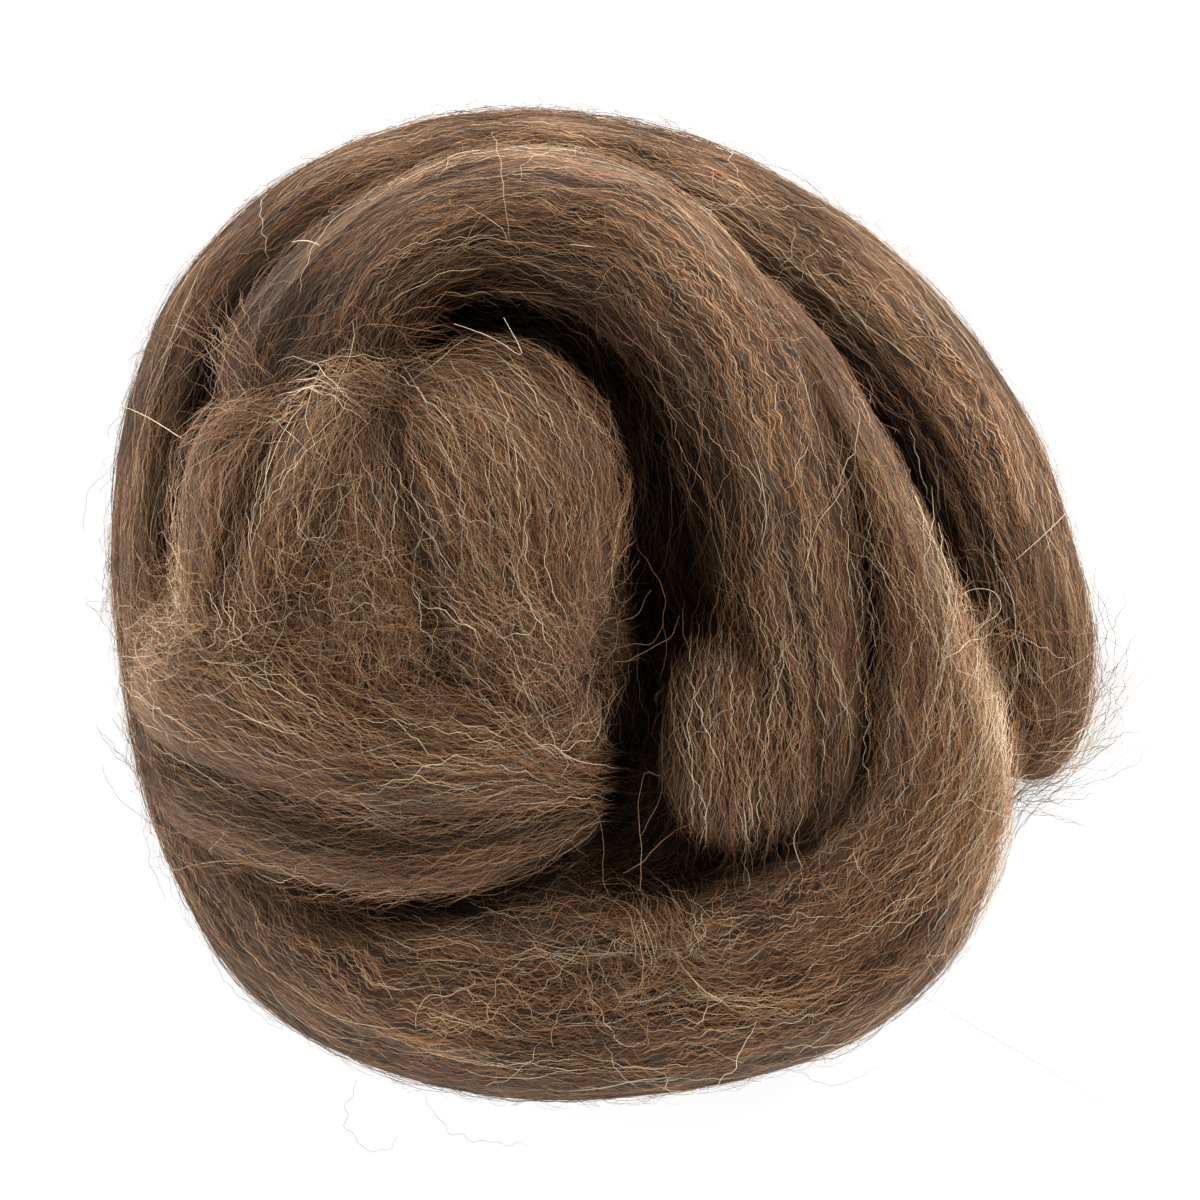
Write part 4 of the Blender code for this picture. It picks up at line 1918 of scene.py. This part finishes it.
@dataclass
class DriftedHairs:
    """Hairs that fan over the folds of the ball, tangle where the folds meet, and stand out as
    tufts, swirls and frayed ends."""

    drifts: tuple[Drift, ...] = (
        Drift(
            "ball_bed", BALL_FLOW, 1200, points=10, step=2.1, blur=5.5, crimp=0.3, rest=-0.2,
            lift=0.2, seed=30,
        ),
        Drift("ball_fan", BALL_FLOW, 1500, blur=5.5, seed=31),
        Drift(
            "ball_tangle", TANGLE_FLOW, 650, spread=1.0, wander=0.9, crimp=0.7, step=1.15,
            rest=0.35, lift=0.5, radius=0.035, seed=32,
        ),
        Drift(
            "tuft", TUFT_FLOW, 150, scatter=2.6, spread=1.4, wander=1.2, crimp=0.9, step=1.0,
            rest=0.7, lift=1.0, level=27.5, radius=0.04, blend=Blend.LIGHT, seed=33,
        ),
        Drift("tuft_tail", TUFT_TAIL, 60, scatter=1.6, spread=0.2, blend=Blend.FUZZ, seed=34),
        Drift(
            "fold_tops", FOLD_TOPS, 90, scatter=1.6, blur=3.0, spread=0.3, radius=0.045,
            blend=Blend.FUZZ, seed=35,
        ),
        Drift(
            "flared_ends", FLARED_ENDS, 40, scatter=1.8, spread=0.6, lift=0.7, radius=0.045,
            seed=36,
        ),
        Drift(
            "bend_flow", BEND_FLOW, 330, scatter=2.6, spread=0.16, radius=0.046, blend=Blend.BALL,
            seed=43,
        ),
        Drift(
            "swirl", SWIRL, 260, scatter=4.0, blur=3.6, spread=0.6, wander=0.8, crimp=0.7, step=1.1,
            rest=0.3, radius=0.045, seed=37,
        ),
        Drift(
            "swirl_edge", SWIRL_EDGE, 90, scatter=1.6, blur=3.5, spread=0.18, blend=Blend.LIGHT,
            seed=38,
        ),
        Drift(
            "frayed_end", FRAYED_END, 170, scatter=2.2, blur=4.0, spread=0.45, rest=0.5, lift=1.0,
            level=6.0, blend=Blend.FUZZ, seed=39,
        ),
        Drift(
            "light_rim", LIGHT_RIM, 260, scatter=1.8, spread=0.15, rest=0.4, blend=Blend.LIGHT,
            seed=40,
        ),
        Drift(
            "crease_wisps", CREASE_WISPS, 45, scatter=1.8, spread=0.8, wander=0.9, lift=1.4,
            blend=Blend.LIGHT, seed=41,
        ),
        Drift(
            "crease_hairs", CREASE_HAIRS, 150, scatter=2.2, spread=0.4, rest=0.1, radius=0.036,
            seed=44,
        ),
        Drift(
            "rust_and_highlight_crest", RUST_AND_HIGHLIGHT_CREST, 260, scatter=2.8, spread=0.14, blend=Blend.RUST_AND_HIGHLIGHT, seed=42,
        ),
    )

    def build(self, nest: Nest, materials: list[bpy.types.Material]) -> None:
        """Makes one piece for each drift.

        Args:
            nest: What the hairs lie on.
            materials: One for each tone.
        """
        for drift in self.drifts:
            add_hairs(drift.name, [drift.hairs(nest)], materials)


@dataclass(frozen=True)
class Stray:
    """One long stray hair: a spline through rows of x, y and z in mm, which are lifted onto the
    nest where it is higher."""

    rows: Table
    tone: Tone = Tone.STRAW
    radius: float = 0.055
    crimp: float = 0.12
    seed: int = 1
    crimp_length: tuple[float, float] = (3.0, 5.5)
    step: float = 0.9
    clear: float = 0.35

    def hairs(self, nest: Nest) -> Hairs:
        """Follows the spline, with a fine crimp across it.

        Args:
            nest: What the hair lies on or hangs over.

        Returns:
            The one hair, in the tables' mm.
        """
        run, path = even_path(np.array(self.rows, float), self.step)
        rng = np.random.default_rng(self.seed)
        ahead = unit(np.gradient(path, axis=0))
        aside = unit(np.cross(ahead, (0.0, 0.0, 1.0)))
        path = path + aside * (self.crimp * waves(rng, 1, run, self.crimp_length)).T
        height, _ = nest.drape(path[:, 0], path[:, 1])
        path[:, 2] = np.maximum(path[:, 2], height + self.clear)
        outward = np.broadcast_to((0.0, 0.0, 1.0), path.shape)
        tone = np.array([list(Tone).index(self.tone)])
        return Hairs(path[None], outward[None], np.array([self.radius]), tone)


@dataclass
class StrayHairs:
    """Single hairs that stand out against the rest: over the hollow, on the coils and outside the
    outline."""

    strays: tuple[Stray, ...] = (
        # over the left of the outer coil
        Stray(((-77.5, 31.5, 27), (-72.5, 29.3, 30), (-66.3, 25.6, 38)), Tone.PALE, 0.06, 0.03, 1),
        # a kinked pale hair at the back of the hollow
        Stray(
            (
                (-22.8, 43.2, 54), (-17, 41, 55), (-12.6, 38.3, 55.5), (-12.4, 39.2, 56),
                (-15, 44, 57),
            ),
            Tone.PALE, 0.06, 0.05, 2,
        ),
        # a loop on the outer coil
        Stray(
            ((42.5, 43.3, 0), (43.3, 48.2, 0), (45.7, 51.4, 0), (48.6, 50.6, 0), (49, 47.3, 0)),
            Tone.STRAW, 0.05, 0.1, 3,
        ),
        # a straight hair on the outer coil's right
        Stray(
            ((66.3, 6.1, 29), (70, 9.3, 28.5), (73.6, 12.6, 27), (75, 14, 25)), Tone.PALE, 0.065,
            0.02, 4,
        ),
        # curls in the right crease
        Stray(
            (
                (57, 0.4, 30), (60, 1.8, 31), (63, 1.3, 31), (64.2, -0.5, 31), (63.5, -2.4, 31),
                (60.3, -4.8, 31), (59.5, -7, 30),
            ),
            Tone.PALE, 0.05, 0.06, 5,
        ),
        Stray(
            (
                (62.6, 1.3, 31), (62.2, 0, 31.5), (62.6, -1.6, 31.5), (61.9, -3.2, 31),
                (59.8, -4.4, 31),
            ),
            Tone.PALE, 0.05, 0.06, 6,
        ),
        Stray(
            ((58.2, 0.3, 32), (58.9, -2.4, 32), (60.2, -3.5, 31), (61.4, -6.4, 30), (63, -9.5, 29)),
            Tone.GREY, 0.045, 0.2, 7,
        ),
        # across the hollow
        Stray(
            (
                (5.7, 8.8, 38), (8.8, 4, 40), (10.3, 0, 41), (8.8, -6.4, 40), (4, -7.2, 41),
                (-0.8, -9.6, 44),
            ),
            Tone.RUST, 0.055, 0.15, 8,
        ),
        Stray(
            ((12.7, -2.4, 36), (11.1, -6, 38), (8, -7.6, 39), (5.5, -9.2, 40), (2, -10, 43)),
            Tone.TAN, 0.05, 0.2, 9,
        ),
        Stray(
            ((2, -3.5, 42), (5, -3, 40), (6.6, -1, 39), (8.2, 1.6, 39)), Tone.TAN, 0.045, 0.2, 10,
        ),
        Stray(
            ((13.5, 0, 36), (13.1, -3.5, 37), (13.6, -6.4, 37), (14.6, -9.6, 38)), Tone.TAN, 0.05,
            0.15, 11,
        ),
        Stray(((15.4, -2.4, 37), (15.6, -5.5, 38), (14.2, -8, 38)), Tone.GREY, 0.045, 0.15, 12),
        Stray(((10, -3.4, 34), (10.6, -8, 35), (9.6, -12.6, 34)), Tone.GREY, 0.04, 0.15, 13),
        # down in front of the tucked bend
        Stray(
            (
                (11.5, -26.5, 36), (9.6, -28, 36), (7.4, -27.4, 35), (6.5, -30, 34),
                (6.1, -33.6, 33), (6.6, -40, 33), (6.4, -46.5, 33),
            ),
            Tone.STRAW, 0.055, 0.1, 14,
        ),
        Stray(
            ((10.2, -27.5, 36), (9.4, -32, 35), (7.6, -35.5, 34), (6.4, -38, 33)), Tone.STRAW, 0.05,
            0.12, 15,
        ),
        Stray(
            ((15.1, -35.2, 33), (10.5, -38, 33), (6.4, -42.2, 32), (3.5, -43.8, 30)), Tone.STRAW,
            0.055, 0.12, 16,
        ),
        Stray(
            ((32.5, -34, 36), (31, -37.6, 35), (31.2, -40, 34), (32.4, -43, 33)), Tone.PALE, 0.055,
            0.06, 17,
        ),
        Stray(
            ((-1.8, -31.5, 33), (0, -35.5, 32), (0.6, -40, 31), (0.4, -44, 30), (1.4, -47.5, 30)),
            Tone.TAN, 0.05, 0.25, 18,
        ),
        # on top of the inner coil
        Stray(
            ((-17.3, 75.4, 0), (-15.7, 69, 0), (-15, 62.8, 0), (-14.1, 56.5, 0)), Tone.STRAW, 0.05,
            0.3, 19,
        ),
        Stray(((-49.1, 57, 0), (-46.5, 57, 0), (-44.2, 56, 0)), Tone.PALE, 0.075, 0.03, 20),
        Stray(((-4.7, 55.7, 0), (-0.9, 55.3, 0)), Tone.PALE, 0.075, 0.02, 21),
        # from the waist of the ball to the right
        Stray(((-3, -1.5, 0), (1, 1.5, 46), (4, 3, 43), (6.2, 6.4, 41)), Tone.TAN, 0.05, 0.2, 22),
        Stray(
            ((-2, -7, 0), (0.4, -3.6, 45), (2.6, -3, 43), (2.4, -7.4, 42), (0, -11, 42)),
            Tone.STRAW, 0.045, 0.1, 23,
        ),
        # outside the outline
        Stray(((-71, -33, 3), (-74.5, -41, 2), (-71.6, -49.4, 2)), Tone.GREY, 0.035, 0.5, 24),
        Stray(((-64, -52, 3), (-61.5, -62.5, 2), (-52, -71, 2)), Tone.GREY, 0.035, 0.5, 25),
        Stray(
            ((-40, -79, 3), (-42, -86, 2), (-37.5, -91, 2), (-33, -89, 2)), Tone.GREY, 0.035, 0.6,
            26,
        ),
        Stray(((-30, -80, 3), (-24, -88, 2), (-12, -90, 2)), Tone.GREY, 0.03, 0.6, 27),
        Stray(
            ((53, -65, 3), (62, -70.5, 2), (74, -77.5, 2), (84, -84, 2)), Tone.GREY, 0.03, 0.15, 28,
        ),
        Stray(((79, -11, 9), (84, -15, 7), (86, -20, 5)), Tone.GREY, 0.035, 0.4, 29),
        Stray(((30, -76, 3), (38, -80, 2), (46, -77, 2)), Tone.GREY, 0.03, 0.5, 30),
        Stray(((-79, 22, 8), (-84, 18, 5), (-85, 11, 4)), Tone.GREY, 0.03, 0.4, 31),
    )

    def build(self, nest: Nest, materials: list[bpy.types.Material]) -> None:
        """Makes all of them as one piece.

        Args:
            nest: What the hairs lie on.
            materials: One for each tone.
        """
        add_hairs("stray_hairs", [stray.hairs(nest) for stray in self.strays], materials)


@dataclass(frozen=True)
class Softbox:
    """A large soft light: where it stands in metres, its width and its power in watts."""

    name: str
    place: tuple[float, float, float]
    size: float
    power: float

    def build(self) -> None:
        """Makes the light, aimed at the nest."""
        light = bpy.data.lights.new(self.name, "AREA")
        light.shape = "DISK"
        light.size = self.size
        light.energy = self.power
        lamp = bpy.data.objects.new(self.name, light)
        lamp.location = self.place
        x, y, z = self.place
        tilt, turn = math.atan2(math.hypot(x, y), z), math.atan2(-y, -x) - math.pi / 2
        lamp.rotation_euler = (tilt, 0.0, turn)
        lamp.visible_camera = False
        bpy.context.scene.collection.objects.link(lamp)


@dataclass
class Studio:
    """A light table with a brighter apron outside the picture, three soft lights and the camera.

    Sizes of the table and the apron are in metres, its gap below the nest and the view in mm.
    """

    table_size: float = 12.0
    table_gap: float = 0.3
    table_shade: float = 0.15
    table_glow: float = 0.93
    table_roughness: float = 0.9
    table_shine: float = 0.1
    apron_start: float = 0.125
    apron_gap: float = 0.24
    apron_glow: float = 8.0
    apron_sides: int = 96
    lights: tuple[Softbox, ...] = (
        Softbox("softbox_right", (0.80, 0.85, 1.0), 0.7, 34.0),
        Softbox("softbox_left", (-1.30, 0.0, 0.5), 0.7, 15.0),
        Softbox("softbox_front", (0.0, -1.30, 0.5), 0.7, 2.5),
    )
    surround: float = 0.20
    view_width: float = 198.0
    view_distance: float = 1000.0
    sensor: float = 36.0

    def build(self) -> None:
        """Makes the table, the lights, the surround and the camera."""
        self._table()
        for light in self.lights:
            light.build()
        self._world()
        self._camera()
        bpy.context.scene.view_settings.view_transform = "Standard"

    def _table(self) -> None:
        """The pale, evenly lit table top that the nest lies on, and the apron of light round it: a
        flat ring of quads between two circles."""
        half = self.table_size / 2
        corners = np.array([(-half, -half), (half, -half), (half, half), (-half, half)])
        points = np.column_stack([corners, np.full(4, -self.table_gap * MM)])
        self._lit("table_top", points, np.array([[0, 1, 2, 3]]), self.table_glow)
        turn = np.linspace(0, 2 * math.pi, self.apron_sides, endpoint=False)
        ring = np.column_stack([np.cos(turn), np.sin(turn), np.zeros(self.apron_sides)])
        low = np.array([0.0, 0.0, -self.apron_gap * MM])
        points = np.vstack([ring * self.apron_start + low, ring * half + low])
        i = np.arange(self.apron_sides)
        k = (i + 1) % self.apron_sides
        quads = np.stack([i, i + self.apron_sides, k + self.apron_sides, k], -1)
        self._lit("table_apron", points, quads, self.apron_glow)

    def _lit(self, name: str, points: Array, quads: Array, glow: float) -> None:
        """Makes one evenly lit, pale surface under the nest.

        Args:
            name: Its name.
            points: Its points, in metres.
            quads: Its faces.
            glow: How brightly it is lit.
        """
        mesh = make_mesh(name, points, quads, np.zeros((0, 3), int))
        material = bpy.data.materials.new(f"{name}_white")
        material.use_nodes = True
        shader = material.node_tree.nodes["Principled BSDF"]
        shader.inputs["Base Color"].default_value = (self.table_shade,) * 3 + (1.0,)
        shader.inputs["Roughness"].default_value = self.table_roughness
        shader.inputs["Specular IOR Level"].default_value = self.table_shine
        shader.inputs["Emission Color"].default_value = (1.0, 1.0, 1.0, 1.0)
        shader.inputs["Emission Strength"].default_value = glow
        mesh.materials.append(material)
        surface = bpy.data.objects.new(name, mesh)
        bpy.context.scene.collection.objects.link(surface)

    def _world(self) -> None:
        """A faint even surround."""
        world = bpy.data.worlds.new("surround")
        world.use_nodes = True
        background = world.node_tree.nodes["Background"]
        background.inputs["Color"].default_value = (1.0, 1.0, 1.0, 1.0)
        background.inputs["Strength"].default_value = self.surround
        bpy.context.scene.world = world

    def _camera(self) -> None:
        """The camera, straight above the middle of the picture."""
        data = bpy.data.cameras.new("camera")
        data.sensor_width = self.sensor
        data.lens = self.sensor * self.view_distance / self.view_width
        camera = bpy.data.objects.new("camera", data)
        camera.location = (-SHIFT[0] * MM, -SHIFT[1] * MM, self.view_distance * MM)
        bpy.context.scene.collection.objects.link(camera)
        bpy.context.scene.camera = camera


def main() -> None:
    """Builds the nest and its surroundings."""
    logging.basicConfig(level=logging.INFO, format="%(name)s %(message)s")
    nest = Strand().build()
    materials = [tone.value.material(f"wool_{tone.name.lower()}") for tone in Tone]
    CombedHairs().build(nest, materials)
    DriftedHairs().build(nest, materials)
    Fuzz().build(nest, materials)
    FRINGE.build(nest, materials)
    StrayHairs().build(nest, materials)
    Studio().build()
    bpy.context.view_layer.update()


if __name__ == "__main__":
    main()
